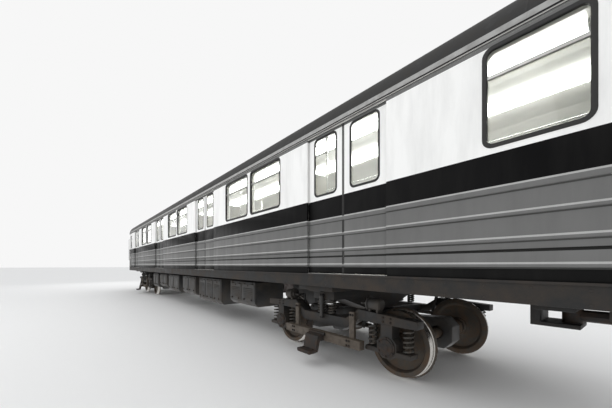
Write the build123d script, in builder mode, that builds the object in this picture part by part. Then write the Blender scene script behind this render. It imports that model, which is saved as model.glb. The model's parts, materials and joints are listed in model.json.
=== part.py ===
from build123d import *
import os
from math import cos, radians, sin, sqrt

# A metro motor car with a driver's cab at one end, in millimetres. X runs forward to the cab,
# Y to the car's left and Z up. The origin is under the car's middle at the flange tips, on
# which the car stands on a flat floor, so that the rail head is one flange depth higher.

# Wheels and track
FLANGE = 28.0
WHEEL_R = 390.0
WHEEL_GAP = 1440.0
WHEEL_W = 130.0
FLANGE_W = 34.0
WHEEL_BASE = 2100.0

# Clearances: pieces that rest on each other, and pieces that pass each other
FIT = 0.3
RUNNING_GAP = 8.0

# Body shell, with the bogie's pivot and the last doorway's middle measured from its end
BODY_HALF_L = 9385.0
PIVOT_SET = 3085.0
DOOR_SET = 2485.0
BODY_HALF_W = 1350.0
WALL_T = 100.0
END_T = 60.0
SHELL_T = 45.0
SHOULDER_Z = FLANGE + 2965.0
SHOULDER_R = 550.0
CROWN_R = 3000.0
FLOOR_Z = FLANGE + 1208.0
FLOOR_T = 48.0
SKIRT_Z = FLANGE + 1040.0
SKIRT_SET = 5.0
SILL_STRIP = 12.0
SILL_STRIP_H = 22.0
DOOR_TOP_Z = FLANGE + 3020.0
CANTRAIL_H = 75.0
GUTTER_Z = FLANGE + 3040.0
GUTTER = 16.0
NOSE_L = 455.0
NOSE_CORNER_R = 260.0
TAIL_CORNER_R = 45.0
PLAN_OUT = 0.8
BROW_Z = FLANGE + 3110.0
BROW_SET = 340.0
# The brow's middle point, as shares of its set and of its height
BROW_BULGE = (0.22, 0.6)

# Ribs that run along the side below the windows, and the groove above the lowest one
RIB_FIRST_Z = FLANGE + 1320.0
RIB_PITCH = 190.0
RIB_COUNT = 4
RIB_H = 36.0
RIB_TOP_H = 54.0
RIB_PROUD = 13.0
RIB_SLOPE = 16.0
RIB_UNDERCUT = 3.0
GROOVE_Z = FLANGE + 1426.0
GROOVE_H = 14.0
GROOVE_DEPTH = 8.0
LOW_SET = 14.0

# Windows
SILL_Z = FLANGE + 2225.0
WINDOW_H = 760.0
WINDOW_PIER = 110.0
WINDOW_POST = 32.0
WINDOW_CORNER = 38.0
GLASS_T = 8.0
GLASS_SET = 26.0
TAIL_WINDOW_W = 620.0
END_WINDOW_SET = 70.0
END_WINDOW_EDGE = 20.0

# Passenger doorways and their sliding leaves
DOOR_W = 1270.0
DOOR_COUNT = 4
LEAF_T = 30.0
LEAF_LAP = 20.0
LEAF_TRAVEL = 600.0
LEAF_MEET = 1.0
SLOT_T = 50.0
SLOT_OUT = 28.0
LEAF_WINDOW_W = 410.0
LEAF_RIB = 5.0
CHANNEL_H = 25.0

# Hinged doors of the cab and the ends
CAB_DOOR_W = 560.0
CAB_DOOR_POST = 40.0
CAB_DOOR_SET = 10.0
END_DOOR_W = 600.0
HINGED_T = 40.0
HINGED_GAP = 8.0
HINGED_H = 1760.0
HINGED_STILE = 90.0
KNUCKLE_L = 140.0
KNUCKLE_SIDES = 8
KNUCKLE_SHARES = [0.15, 0.85]

# Saloon and cab
SEAT_D = 450.0
SEAT_H = 420.0
SEAT_END = 215.0
SEAT_BASE_SET = 60.0
SEAT_TOE = 110.0
CUSHION_T = 90.0
BACK_H = 430.0
BACK_T = 70.0
REAR_SEAT_GAP = 120.0
SCREEN_H = 1450.0
SCREEN_T = 24.0
POLE_R = 16.0
POLE_SIDES = 6
RAIL_H = 1860.0
CEILING_TOP_Z = FLANGE + 3440.0
CEILING_T = 16.0
CEILING_DROP = 310.0
# The ceiling's bends, as (distance from the middle, drop below its top)
CEILING_BENDS = [(0.0, 0.0), (300.0, 16.0), (560.0, 58.0), (900.0, 155.0)]
LAMP_W = 180.0
LAMP_DROP = 60.0
LAMP_BEVEL = 20.0
LAMP_Y = 430.0
LAMP_END = 400.0
PARTITION_SET = 1050.0
PARTITION_T = 40.0
PASSAGE_W = 560.0
PASSAGE_SILL = 50.0
PASSAGE_H = 1800.0
DESK_SIDE_SET = 270.0
DESK_W = 760.0
DESK_H = 960.0
DESK_SET = 20.0
DESK_KNEE = 120.0
DESK_LEDGE = 160.0
# How far the desk's front edge, its lip and its knee lie below its back edge
DESK_DROPS = [60.0, 220.0, 270.0, 300.0]
DESK_GAP = 1.0
DRIVER_SET = 370.0
DRIVER_SIDE_SET = 850.0
DRIVER_SEAT_H = 485.0
DRIVER_SEAT_HALF = 215.0
DRIVER_PAD_T = 90.0
DRIVER_PAD_EDGE = 20.0
DRIVER_BACK_H = 500.0
DRIVER_BACK_T = 65.0
DRIVER_BACK_X = 140.0
DRIVER_FOOT_R = 170.0
DRIVER_FOOT_H = 30.0
DRIVER_STEM_R = 45.0

# Lamps in the nose, as (distance from the body's side, height, width, height of the lamp)
NOSE_LAMPS = [(520.0, FLANGE + 1620.0, 420.0, 190.0), (710.0, FLANGE + 3040.0, 240.0, 90.0)]
LAMP_PROUD = 10.0
LAMP_CORNER = 30.0

# Roof vents
VENT_L = 900.0
VENT_W = 320.0
VENT_RISE = 42.0
VENT_Y = 560.0
VENT_COUNT = 6
VENT_PITCH = 2600.0

# Underframe
SILL_Y = 400.0
SILL_W = 120.0
SILL_H = 100.0
CROSS_W = 80.0
CROSS_COUNT = 7
CROSS_H = 80.0
BOLSTER_L = 700.0
BOLSTER_H = 190.0
HEADSTOCK_L = 220.0
JACK_L = 240.0
JACK_W = 110.0
JACK_H = 15.0

# Equipment under the floor, as (middle, side, length, width, height), with its places and
# lengths along the car as shares of the half length between the bogies
RACK_SET = 1700.0
EQUIPMENT_SIDE_SET = 240.0
EQUIPMENT = [
    (0.848, 1, 0.196, 800.0, 560.0),
    (0.848, -1, 0.217, 700.0, 520.0),
    (0.576, 1, 0.239, 700.0, 480.0),
    (0.272, 1, 0.283, 660.0, 560.0),
    (0.239, -1, 0.326, 660.0, 600.0),
    (-0.087, 1, 0.261, 700.0, 520.0),
    (-0.446, 1, 0.326, 700.0, 600.0),
    (-0.837, 1, 0.239, 660.0, 480.0),
    (-0.870, -1, 0.174, 700.0, 560.0),
]
EQUIPMENT_CUT = 70.0
RESISTOR_SHARE = -0.326
RESISTOR_L_SHARE = 0.565
RESISTOR_W = 700.0
RESISTOR_H = 420.0
RESISTOR_T = 30.0
PLATE_COUNT = 8
PLATE_T = 60.0
PLATE_SET = 30.0
RESERVOIR_R = 150.0
RESERVOIR_L = 1500.0
RESERVOIR_DROP = 30.0
# The reservoirs, as (share of the half length between the bogies, distance from the middle)
RESERVOIRS = [(0.576, -60.0), (-0.652, 60.0)]
STRAP_STEP = 500.0
STRAP_W = 60.0

# Bogies
BEAM_Y = 1010.0
BEAM_W = 140.0
BEAM_END_Z = FLANGE + 640.0
BEAM_MID_Z = FLANGE + 500.0
BEAM_H = 130.0
BEAM_HALF_L = 1420.0
BEAM_TIP = 0.65
DROP_X = 430.0
DROP_RUN = 210.0
TRANSOM_X = 270.0
TRANSOM_W = 130.0
BEARING_R = 160.0
BEARING_H = 10.0
CROSSHEAD_W = 420.0
CROSSHEAD_H = 120.0
CROSSHEAD_EDGE = 100.0
AXLE_R = 75.0
JOURNAL_R = 62.0
BOX_R = 140.0
BOX_T = 150.0
BOX_WALL = 20.0
HORN_W = 150.0
WING_L = 300.0
WING_H = 50.0
WING_DROP = 60.0
SPRING_R = 62.0
SPRING_X = 235.0
SPRING_SIDES = 8
CROSS_SPRING_X = 110.0
MOTOR_R = 250.0
MOTOR_L = 620.0
MOTOR_X = 590.0
MOTOR_Y = 120.0
MOTOR_RISE = 20.0
MOTOR_NOSE_H = 90.0
GEAR_Y = 200.0
GEAR_W = 230.0
GEAR_R = 210.0
GEAR_CORNER = 110.0
PINION_R = 150.0
AXLE_CLEAR = 6.0
SHOE_GAP = 6.0
SHOE_T = 44.0
SHOE_H = 300.0
SHOE_W = 72.0
ARM_T = 50.0
ARM_SET = 6.0
SHOE_Y = WHEEL_GAP / 2 + 88.0
COLLECTOR_Y = 1450.0
COLLECTOR_Z = FLANGE + 160.0
COLLECTOR_BEAM_L = 1500.0
COLLECTOR_BEAM_W = 90.0
COLLECTOR_BEAM_H = 110.0
BRACKET_X = 560.0
BRACKET_T = 40.0
BRACKET_RISE = 90.0
COLLECTOR_DROP = 40.0
COLLECTOR_ARM_H = 100.0
COLLECTOR_ARM_OUT = 110.0
COLLECTOR_ARM_T = 40.0
PAD_L = 260.0
PAD_T = 36.0

# Couplers, with their faces and pivots measured from the body's end
COUPLER_PROUD = 220.0
COUPLER_Z = FLANGE + 828.0
COUPLER_PIN_SET = 625.0
EYE_R = 80.0
EYE_H = 150.0
SHANK_R = 58.0
SHANK_SIDES = 8
HEAD_L = 180.0
HEAD_W = 340.0
HEAD_H = 280.0
HEAD_CORNER = 55.0
FUNNEL_W = 150.0
FUNNEL_Y = 75.0
FUNNEL_DEPTH = 70.0
FUNNEL_ANGLE = 30.0
CONTACT_L = 130.0
CONTACT_W = 300.0
CONTACT_H = 150.0
CONTACT_DROP = 205.0
CONTACT_SET = 20.0
JAW_W = 360.0
JAW_T = 40.0
JAW_L = 300.0
JAW_BACK = 80.0

NOSE_X = BODY_HALF_L - NOSE_L
PIVOT_X = BODY_HALF_L - PIVOT_SET
DOOR_PITCH = 2 * (BODY_HALF_L - DOOR_SET) / (DOOR_COUNT - 1)
CAB_DOOR_X = NOSE_X - CAB_DOOR_POST - CAB_DOOR_W
PARTITION_X = NOSE_X - PARTITION_SET
DRIVER_X = NOSE_X - DRIVER_SET
COUPLER_REACH = BODY_HALF_L + COUPLER_PROUD
COUPLER_PIN_X = BODY_HALF_L - COUPLER_PIN_SET
AXLE_Z = FLANGE + WHEEL_R
WINDOW_Z = SILL_Z + WINDOW_H / 2
SLOT_Y = BODY_HALF_W - SLOT_OUT - SLOT_T / 2
INNER_Y = BODY_HALF_W - WALL_T
FRAME_Z = FLOOR_Z - FLOOR_T
SILL_TOP_Z = FRAME_Z - CROSS_H - FIT
HANG_Z = SILL_TOP_Z - SILL_H - FIT
TAIL_X = -BODY_HALF_L + END_T
HINGED_TOP_Z = FLOOR_Z + HINGED_H
DOOR_XS = [DOOR_PITCH * (i - (DOOR_COUNT - 1) / 2) for i in range(DOOR_COUNT)]
BAY_MIDDLES = [(a + b) / 2 for a, b in zip(DOOR_XS, DOOR_XS[1:])]
POCKET_L = LEAF_LAP + LEAF_TRAVEL + RUNNING_GAP
WINDOW_W = (DOOR_PITCH - DOOR_W - WINDOW_PIER) / 2 - POCKET_L - WINDOW_POST
END_WINDOW_IN = END_DOOR_W / 2 + END_WINDOW_SET
END_WINDOW_OUT = BODY_HALF_W - NOSE_CORNER_R - END_WINDOW_EDGE
END_WINDOW_W = END_WINDOW_OUT - END_WINDOW_IN
END_WINDOW_Y = (END_WINDOW_IN + END_WINDOW_OUT) / 2
RACK_HALF_L = PIVOT_X - RACK_SET
BOLSTER_Z = FRAME_Z - BOLSTER_H

os.makedirs("parts", exist_ok=True)


def save(builder, name):
    """Labels a finished piece and writes it under its node's name."""
    builder.part.label = name
    export_step(builder.part, f"parts/{name}.step")


def save_copy(shape, name):
    """Writes a moved or mirrored copy of a finished piece."""
    with BuildPart() as copy:
        add(shape)
    save(copy, name)


def cut_corners(width, height, corner):
    """A rectangle with its corners cut at 45 degrees."""
    with BuildSketch() as shape:
        Rectangle(width, height)
        chamfer(shape.vertices(), length=corner)
    return shape.sketch


def shoulder_point(inset, angle):
    """A point of the roof's shoulder, moved in by inset, at an angle above the level."""
    radius = SHOULDER_R - inset
    centre_y = BODY_HALF_W - SHOULDER_R
    return (centre_y + radius * cos(radians(angle)), SHOULDER_Z + radius * sin(radians(angle)))


def crown_point(inset, y):
    """A point of the roof's crown, moved in by inset, at a distance from the middle."""
    slope = (BODY_HALF_W - SHOULDER_R) / (CROWN_R - SHOULDER_R)
    centre_z = SHOULDER_Z - (CROWN_R - SHOULDER_R) * sqrt(1 - slope**2)
    return (y, centre_z + sqrt((CROWN_R - inset) ** 2 - y**2))


def joint_y(inset):
    """Where the shoulder's arc runs into the crown's."""
    slope = (BODY_HALF_W - SHOULDER_R) / (CROWN_R - SHOULDER_R)
    return BODY_HALF_W - SHOULDER_R + (SHOULDER_R - inset) * slope


def shoulder_y(z):
    """Half the body's width at a height on the shoulder."""
    return BODY_HALF_W - SHOULDER_R + sqrt(SHOULDER_R**2 - max(0.0, z - SHOULDER_Z) ** 2)


CROWN_Z = crown_point(0, 0)[1]


def body_section(low_z):
    """The car's outer cross-section above low_z: flat sides, round shoulders and a round crown."""
    joint = crown_point(0, joint_y(0))
    with BuildSketch() as section:
        with BuildLine():
            Polyline((0, low_z), (BODY_HALF_W, low_z), (BODY_HALF_W, SHOULDER_Z))
            ThreePointArc((BODY_HALF_W, SHOULDER_Z), shoulder_point(0, 35), joint)
            ThreePointArc(joint, crown_point(0, joint[0] / 2), (0, CROWN_Z))
            Line((0, CROWN_Z), (0, low_z))
        make_face()
        mirror(about=Plane.YZ)
    return section.sketch


def inner_section(inset, low_z):
    """The hollow inside the shell, as flat panels that touch the inset curve at their edges."""
    joint = crown_point(inset, joint_y(inset))
    points = [(0, low_z), (BODY_HALF_W - inset, low_z), (BODY_HALF_W - inset, SHOULDER_Z)]
    points += [shoulder_point(inset, angle) for angle in (24, 48)]
    points += [joint, crown_point(inset, joint[0] / 2), crown_point(inset, 0)]
    with BuildSketch() as section:
        with BuildLine():
            Polyline(*points, close=True)
        make_face()
        mirror(about=Plane.YZ)
    return section.sketch


# Underframe: sole bars with the door sill strip, cross members, sills, bolsters, headstocks
sole_y = BODY_HALF_W - SKIRT_SET
cross_l = 2 * (INNER_Y - FIT)
cross_step = 2 * (PIVOT_X - BOLSTER_L) / (CROSS_COUNT - 1)
cross_xs = [cross_step * (i - (CROSS_COUNT - 1) / 2) for i in range(CROSS_COUNT)]
headstock_x = -TAIL_X - HEADSTOCK_L / 2
jaw_top = COUPLER_Z + EYE_H / 2 + FIT
jaw_low = COUPLER_Z - EYE_H / 2 - FIT
# The sills between the bolsters and beyond them, as (start x, end x)
sill_turn = PIVOT_X + BOLSTER_L / 2 + FIT
sill_end = -TAIL_X - HEADSTOCK_L - FIT
SILLS = [
    (-sill_end, -sill_turn),
    (BOLSTER_L / 2 + FIT - PIVOT_X, PIVOT_X - BOLSTER_L / 2 - FIT),
    (sill_turn, sill_end),
]
with BuildPart() as underframe:
    with BuildSketch(Plane.YZ.offset(TAIL_X)):
        with BuildLine():
            Polyline(
                (INNER_Y, SKIRT_Z),
                (sole_y, SKIRT_Z),
                (sole_y, FLOOR_Z - SILL_STRIP_H),
                (sole_y + SILL_STRIP, FLOOR_Z - SILL_STRIP_H),
                (sole_y + SILL_STRIP, FLOOR_Z),
                (INNER_Y, FLOOR_Z),
                close=True,
            )
        make_face()
        mirror(about=Plane.YZ)
    extrude(amount=NOSE_X - TAIL_X)
    with Locations(*[(x, 0, FRAME_Z - CROSS_H / 2) for x in cross_xs]):
        Box(CROSS_W, cross_l, CROSS_H)
    for start, end in SILLS:
        for s in (1, -1):
            with Locations(((start + end) / 2, s * SILL_Y, SILL_TOP_Z - SILL_H / 2)):
                Box(end - start, SILL_W, SILL_H)
    for end, width in ((1, cross_l - 2 * NOSE_CORNER_R), (-1, cross_l)):
        with Locations((end * PIVOT_X, 0, FRAME_Z - BOLSTER_H / 2)):
            Box(BOLSTER_L, cross_l, BOLSTER_H)
        for s in (1, -1):
            with Locations((end * PIVOT_X, s * (INNER_Y - JACK_W / 2 - FIT), BOLSTER_Z - JACK_H / 2)):
                Box(JACK_L, JACK_W, JACK_H)
        with Locations((end * headstock_x, 0, FRAME_Z - BOLSTER_H / 2)):
            Box(HEADSTOCK_L, width, BOLSTER_H)
        # The jaw that holds the eye of the coupler between two plates
        jaw_x = COUPLER_PIN_X + EYE_R - JAW_L / 2
        back_x = jaw_x - JAW_L / 2 - JAW_BACK / 2
        with Locations((end * jaw_x, 0, (jaw_top + HANG_Z) / 2)):
            Box(JAW_L, 2 * SILL_Y + SILL_W, HANG_Z - jaw_top)
        with Locations((end * jaw_x, 0, jaw_low - JAW_T / 2)):
            Box(JAW_L, JAW_W, JAW_T)
        with Locations((end * back_x, 0, (jaw_low - JAW_T + HANG_Z) / 2)):
            Box(JAW_BACK, JAW_W, HANG_Z - jaw_low + JAW_T)
save(underframe, "underframe")

# Floor: one panel between the walls, with its corners taken off inside the nose
floor_end = -TAIL_X - FIT
floor_y = INNER_Y - FIT
with BuildPart() as floor:
    with BuildSketch(Plane.XY.offset(FRAME_Z)):
        with BuildLine():
            Polyline(
                (-floor_end, 0),
                (-floor_end, floor_y),
                (floor_end - NOSE_CORNER_R, floor_y),
                (floor_end, floor_y - NOSE_CORNER_R),
                (floor_end, 0),
                close=True,
            )
        make_face()
        mirror(about=Plane.XZ)
    extrude(amount=FLOOR_T)
save(floor, "floor")


def rib_points(z, height, face, proud):
    """The four corners of one rib: an undercut lower edge, a plain face and a sloped top."""
    return [
        (face, z - height / 2),
        (face + proud, z - height / 2 + RIB_UNDERCUT),
        (face + proud, z + height / 2 - RIB_SLOPE),
        (face, z + height / 2),
    ]


def rib_run(face, proud):
    """The corners of all the ribs, from the lowest to the tall one below the windows."""
    points = []
    for i in range(RIB_COUNT):
        height = RIB_TOP_H if i == RIB_COUNT - 1 else RIB_H
        points += rib_points(RIB_FIRST_Z + i * RIB_PITCH, height, face, proud)
    return points


# The groove between the two lowest ribs, on the wall alone
GROOVE = [
    (BODY_HALF_W, GROOVE_Z - GROOVE_H / 2),
    (BODY_HALF_W - GROOVE_DEPTH, GROOVE_Z - GROOVE_H / 2 + 2),
    (BODY_HALF_W - GROOVE_DEPTH, GROOVE_Z + GROOVE_H / 2 - 2),
    (BODY_HALF_W, GROOVE_Z + GROOVE_H / 2),
]


def window(x, z, width, height, clearance):
    """One window's outline, drawn smaller by a clearance for its pane."""
    with BuildSketch() as shape:
        with Locations((x, z)):
            add(cut_corners(width - 2 * clearance, height - 2 * clearance, WINDOW_CORNER))
    return shape.sketch


# The wall's panels, as (start x, end x), and its windows, as (middle x, width)
half_door = DOOR_W / 2
panel_edges = [TAIL_X] + [x + s * half_door for x in DOOR_XS for s in (-1, 1)] + [NOSE_X]
PANELS = list(zip(panel_edges[0::2], panel_edges[1::2]))
window_step = (WINDOW_W + WINDOW_PIER) / 2
rear_window_x = (TAIL_X + DOOR_XS[0] - half_door - POCKET_L) / 2
SIDE_WINDOWS = [(m + s * window_step, WINDOW_W) for m in BAY_MIDDLES for s in (-1, 1)]
SIDE_WINDOWS += [(rear_window_x, TAIL_WINDOW_W)]

# Side wall on the left: five panels with ribs, door pockets and windows
with BuildPart() as side_wall:
    outline = [(INNER_Y, FLOOR_Z), (BODY_HALF_W - LOW_SET, FLOOR_Z)]
    outline += [(BODY_HALF_W - LOW_SET, RIB_FIRST_Z - RIB_H / 2)]
    ribs = rib_run(BODY_HALF_W, RIB_PROUD)
    outline += ribs[:4] + GROOVE + ribs[4:]
    wall_top = (shoulder_y(DOOR_TOP_Z), DOOR_TOP_Z)
    outline += [(BODY_HALF_W, SHOULDER_Z), wall_top, (INNER_Y, DOOR_TOP_Z)]
    for start, end in PANELS:
        with BuildSketch(Plane.YZ.offset(start)):
            with BuildLine():
                Polyline(*outline, close=True)
            make_face()
        extrude(amount=end - start)
    # Pockets for the leaves, open at the doorway and at the top
    with Locations(*[(x, SLOT_Y, (FLOOR_Z + DOOR_TOP_Z) / 2) for x in DOOR_XS]):
        Box(DOOR_W + 2 * POCKET_L, SLOT_T, DOOR_TOP_Z - FLOOR_Z, mode=Mode.SUBTRACT)
    with BuildSketch(Plane.XZ.offset(-BODY_HALF_W)):
        for x, width in SIDE_WINDOWS:
            add(window(x, WINDOW_Z, width, WINDOW_H, 0))
    extrude(amount=2 * WALL_T, both=True, mode=Mode.SUBTRACT)
    # The driver's doorway
    with Locations((CAB_DOOR_X + CAB_DOOR_W / 2, BODY_HALF_W - WALL_T / 2, FLOOR_Z + HINGED_H / 2)):
        Box(CAB_DOOR_W, 2 * WALL_T, HINGED_H, mode=Mode.SUBTRACT)
save(side_wall, "side_wall_left")
save_copy(side_wall.part.mirror(Plane.XZ), "side_wall_right")

# Roof: a shell on two cantrails, with the gutters and the channels that the leaves run in
with BuildPart() as roof:
    with BuildSketch(Plane.YZ.offset(TAIL_X)):
        add(body_section(FLOOR_Z))
        add(inner_section(SHELL_T, 0), mode=Mode.SUBTRACT)
        with Locations((0, DOOR_TOP_Z + BODY_HALF_W)):
            Rectangle(4 * BODY_HALF_W, 2 * BODY_HALF_W, mode=Mode.INTERSECT)
        rail_out = shoulder_y(DOOR_TOP_Z + CANTRAIL_H)
        for s in (1, -1):
            with Locations((s * (INNER_Y + rail_out) / 2, DOOR_TOP_Z + CANTRAIL_H / 2)):
                Rectangle(rail_out - INNER_Y, CANTRAIL_H)
            with Locations((s * SLOT_Y, DOOR_TOP_Z + CHANNEL_H / 2)):
                Rectangle(SLOT_T, CHANNEL_H, mode=Mode.SUBTRACT)
            with Locations((s * shoulder_y(GUTTER_Z), GUTTER_Z + GUTTER / 2)):
                Rectangle(2 * GUTTER, GUTTER)
    extrude(amount=NOSE_X - TAIL_X)
save(roof, "roof")


def end_plan(start, reach, sign, half_w, radius):
    """The plan of one end of the body, rounded at its two corners."""
    turn_x = start + sign * (reach - radius)
    face_x = start + sign * reach
    middle = (turn_x + sign * radius * sin(radians(45)), -half_w + radius * (1 - cos(radians(45))))
    with BuildSketch() as plan:
        with BuildLine():
            Line((start, -half_w), (turn_x, -half_w))
            ThreePointArc((turn_x, -half_w), middle, (face_x, -half_w + radius))
            Polyline((face_x, -half_w + radius), (face_x, 0), (start, 0), (start, -half_w))
        make_face()
        mirror(about=Plane.XZ)
    return plan.sketch


def brow_profile(start, reach, crown):
    """The nose seen from the side: an upright front that leans back above the windscreens."""
    knee = (start + reach, BROW_Z)
    top = (start + reach - BROW_SET, crown)
    middle = (knee[0] - BROW_BULGE[0] * BROW_SET, knee[1] + BROW_BULGE[1] * (crown - BROW_Z))
    with BuildSketch() as side:
        with BuildLine():
            Polyline(top, (start, crown), (start, 0), (start + reach, 0), knee)
            ThreePointArc(knee, middle, top)
        make_face()
    return side.sketch


def end_holes(face_x):
    """Cuts the doorway and the two windows beside it through an end wall."""
    with Locations((face_x, 0, FLOOR_Z + HINGED_H / 2)):
        Box(4 * END_T, END_DOOR_W, HINGED_H, mode=Mode.SUBTRACT)
    with BuildSketch(Plane.YZ.offset(face_x)) as holes:
        for s in (1, -1):
            add(window(s * END_WINDOW_Y, WINDOW_Z, END_WINDOW_W, WINDOW_H, 0))
    extrude(holes.sketch, amount=2 * END_T, both=True, mode=Mode.SUBTRACT)


# Nose: the front of the cab, rounded in plan and leaning back at its brow
nose_l = BODY_HALF_L - NOSE_X
hollow_l = nose_l - END_T
with BuildPart() as cab_front:
    with BuildSketch(Plane.YZ.offset(NOSE_X)):
        add(body_section(SKIRT_Z))
    extrude(amount=nose_l)
    with BuildSketch(Plane.XY.offset(SKIRT_Z)):
        add(end_plan(NOSE_X, nose_l, 1, BODY_HALF_W + PLAN_OUT, NOSE_CORNER_R))
    extrude(amount=CROWN_Z, mode=Mode.INTERSECT)
    with BuildSketch(Plane.XZ):
        add(brow_profile(NOSE_X, nose_l, CROWN_Z))
    extrude(amount=2 * BODY_HALF_W, both=True, mode=Mode.INTERSECT)
    # The hollow inside
    with BuildPart(mode=Mode.PRIVATE) as hollow:
        with BuildSketch(Plane.YZ.offset(NOSE_X)):
            add(inner_section(END_T, SKIRT_Z - END_T))
        extrude(amount=hollow_l)
        with BuildSketch(Plane.XY.offset(SKIRT_Z - END_T)):
            add(end_plan(NOSE_X, hollow_l, 1, BODY_HALF_W - END_T + PLAN_OUT, NOSE_CORNER_R - END_T))
        extrude(amount=CROWN_Z, mode=Mode.INTERSECT)
        with BuildSketch(Plane.XZ):
            add(brow_profile(NOSE_X, hollow_l, CROWN_Z - END_T))
        extrude(amount=2 * BODY_HALF_W, both=True, mode=Mode.INTERSECT)
    add(hollow.part, mode=Mode.SUBTRACT)
    end_holes(BODY_HALF_L)
    with BuildSketch(Plane.YZ.offset(BODY_HALF_L)):
        for side_set, z, width, height in NOSE_LAMPS:
            for s in (1, -1):
                with Locations((s * (BODY_HALF_W - side_set), z)):
                    add(cut_corners(width, height, LAMP_CORNER))
    extrude(amount=-2 * END_T, mode=Mode.SUBTRACT)
save(cab_front, "cab_front")

# Lamps in the nose: glasses that fill their seats and stand a little proud
with BuildPart() as front_lamps:
    with BuildSketch(Plane.YZ.offset(BODY_HALF_L - END_T)):
        for side_set, z, width, height in NOSE_LAMPS:
            for s in (1, -1):
                with Locations((s * (BODY_HALF_W - side_set), z)):
                    add(cut_corners(width - 2 * FIT, height - 2 * FIT, LAMP_CORNER))
    extrude(amount=END_T + LAMP_PROUD)
save(front_lamps, "front_lamps")

# Rear end wall
with BuildPart() as rear_end:
    with BuildSketch(Plane.YZ.offset(-BODY_HALF_L)):
        add(body_section(SKIRT_Z))
    extrude(amount=END_T)
    with BuildSketch(Plane.XY.offset(SKIRT_Z)):
        add(end_plan(TAIL_X, END_T, -1, BODY_HALF_W + PLAN_OUT, TAIL_CORNER_R))
    extrude(amount=CROWN_Z, mode=Mode.INTERSECT)
    end_holes(-BODY_HALF_L)
save(rear_end, "rear_end")

# Partition between the cab and the saloon, with its doorway
with BuildPart() as cab_partition:
    with BuildSketch(Plane.YZ.offset(PARTITION_X)):
        add(inner_section(SHELL_T + FIT, FLOOR_Z))
        with Locations((0, CROWN_Z / 2)):
            Rectangle(2 * (INNER_Y - FIT), CROWN_Z, mode=Mode.INTERSECT)
        with Locations((0, FLOOR_Z + PASSAGE_SILL + PASSAGE_H / 2)):
            Rectangle(PASSAGE_W, PASSAGE_H, mode=Mode.SUBTRACT)
    extrude(amount=PARTITION_T)
save(cab_partition, "cab_partition")

# Window glass in the side walls, the nose and the rear end
with BuildPart() as window_glass:
    for s in (1, -1):
        with BuildSketch(Plane.XZ.offset(-s * (BODY_HALF_W - GLASS_SET))):
            for x, width in SIDE_WINDOWS:
                add(window(x, WINDOW_Z, width, WINDOW_H, FIT))
        extrude(amount=s * GLASS_T)
        for inward in (-1, 1):
            with BuildSketch(Plane.YZ.offset(inward * (GLASS_SET - BODY_HALF_L))):
                add(window(s * END_WINDOW_Y, WINDOW_Z, END_WINDOW_W, WINDOW_H, FIT))
            extrude(amount=inward * GLASS_T)
save(window_glass, "window_glass")

# Sliding leaf: ribs in line with the wall's, a window with its pane, and a top edge that hangs
# in the cantrail's channel
leaf_w = DOOR_W / 2 + LEAF_LAP - LEAF_MEET
leaf_top = DOOR_TOP_Z + CHANNEL_H - FIT
leaf_in = SLOT_Y - LEAF_T / 2
leaf_out = SLOT_Y + LEAF_T / 2
with BuildPart() as leaf:
    with BuildSketch(Plane.YZ.offset(LEAF_MEET)):
        with BuildLine():
            Polyline(
                (leaf_in, FLOOR_Z + RUNNING_GAP),
                (leaf_out, FLOOR_Z + RUNNING_GAP),
                *rib_run(leaf_out, LEAF_RIB),
                (leaf_out, leaf_top),
                (leaf_in, leaf_top),
                close=True,
            )
        make_face()
    extrude(amount=leaf_w)
    with BuildSketch(Plane.XZ.offset(-SLOT_Y)):
        add(window(DOOR_W / 4, WINDOW_Z, LEAF_WINDOW_W, WINDOW_H, 0))
    extrude(amount=LEAF_T, both=True, mode=Mode.SUBTRACT)
    with BuildSketch(Plane.XZ.offset(-SLOT_Y)):
        add(window(DOOR_W / 4, WINDOW_Z, LEAF_WINDOW_W, WINDOW_H, FIT))
    extrude(amount=GLASS_T / 2, both=True)
for number, x in enumerate(reversed(DOOR_XS), 1):
    front = leaf.part.moved(Location((x, 0, 0)))
    rear = leaf.part.mirror(Plane.YZ).moved(Location((x, 0, 0)))
    save_copy(front, f"door_left_{number}_front")
    save_copy(rear, f"door_left_{number}_rear")
    save_copy(front.mirror(Plane.XZ), f"door_right_{number}_front")
    save_copy(rear.mirror(Plane.XZ), f"door_right_{number}_rear")


def hinged_leaf(width, plane, centre, pivot):
    """One hinged door: a leaf with a window, its pane and the knuckles that it turns on."""
    low = FLOOR_Z + HINGED_GAP
    height = HINGED_H - 2 * HINGED_GAP
    window_h = HINGED_TOP_Z - HINGED_STILE - SILL_Z
    window_z = SILL_Z + window_h / 2
    window_w = width - 2 * HINGED_STILE
    with BuildPart() as panel:
        with BuildSketch(plane):
            with Locations((centre, low + height / 2)):
                Rectangle(width - 2 * HINGED_GAP, height)
            add(window(centre, window_z, window_w, window_h, 0), mode=Mode.SUBTRACT)
        extrude(amount=HINGED_T)
        with BuildSketch(plane.offset((HINGED_T - GLASS_T) / 2)):
            add(window(centre, window_z, window_w, window_h, FIT))
        extrude(amount=GLASS_T)
        for share in KNUCKLE_SHARES:
            with BuildSketch(Plane.XY.offset(low + share * height - KNUCKLE_L / 2)):
                with Locations(pivot):
                    RegularPolygon(HINGED_GAP - FIT, KNUCKLE_SIDES)
            extrude(amount=KNUCKLE_L)
    return panel


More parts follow.
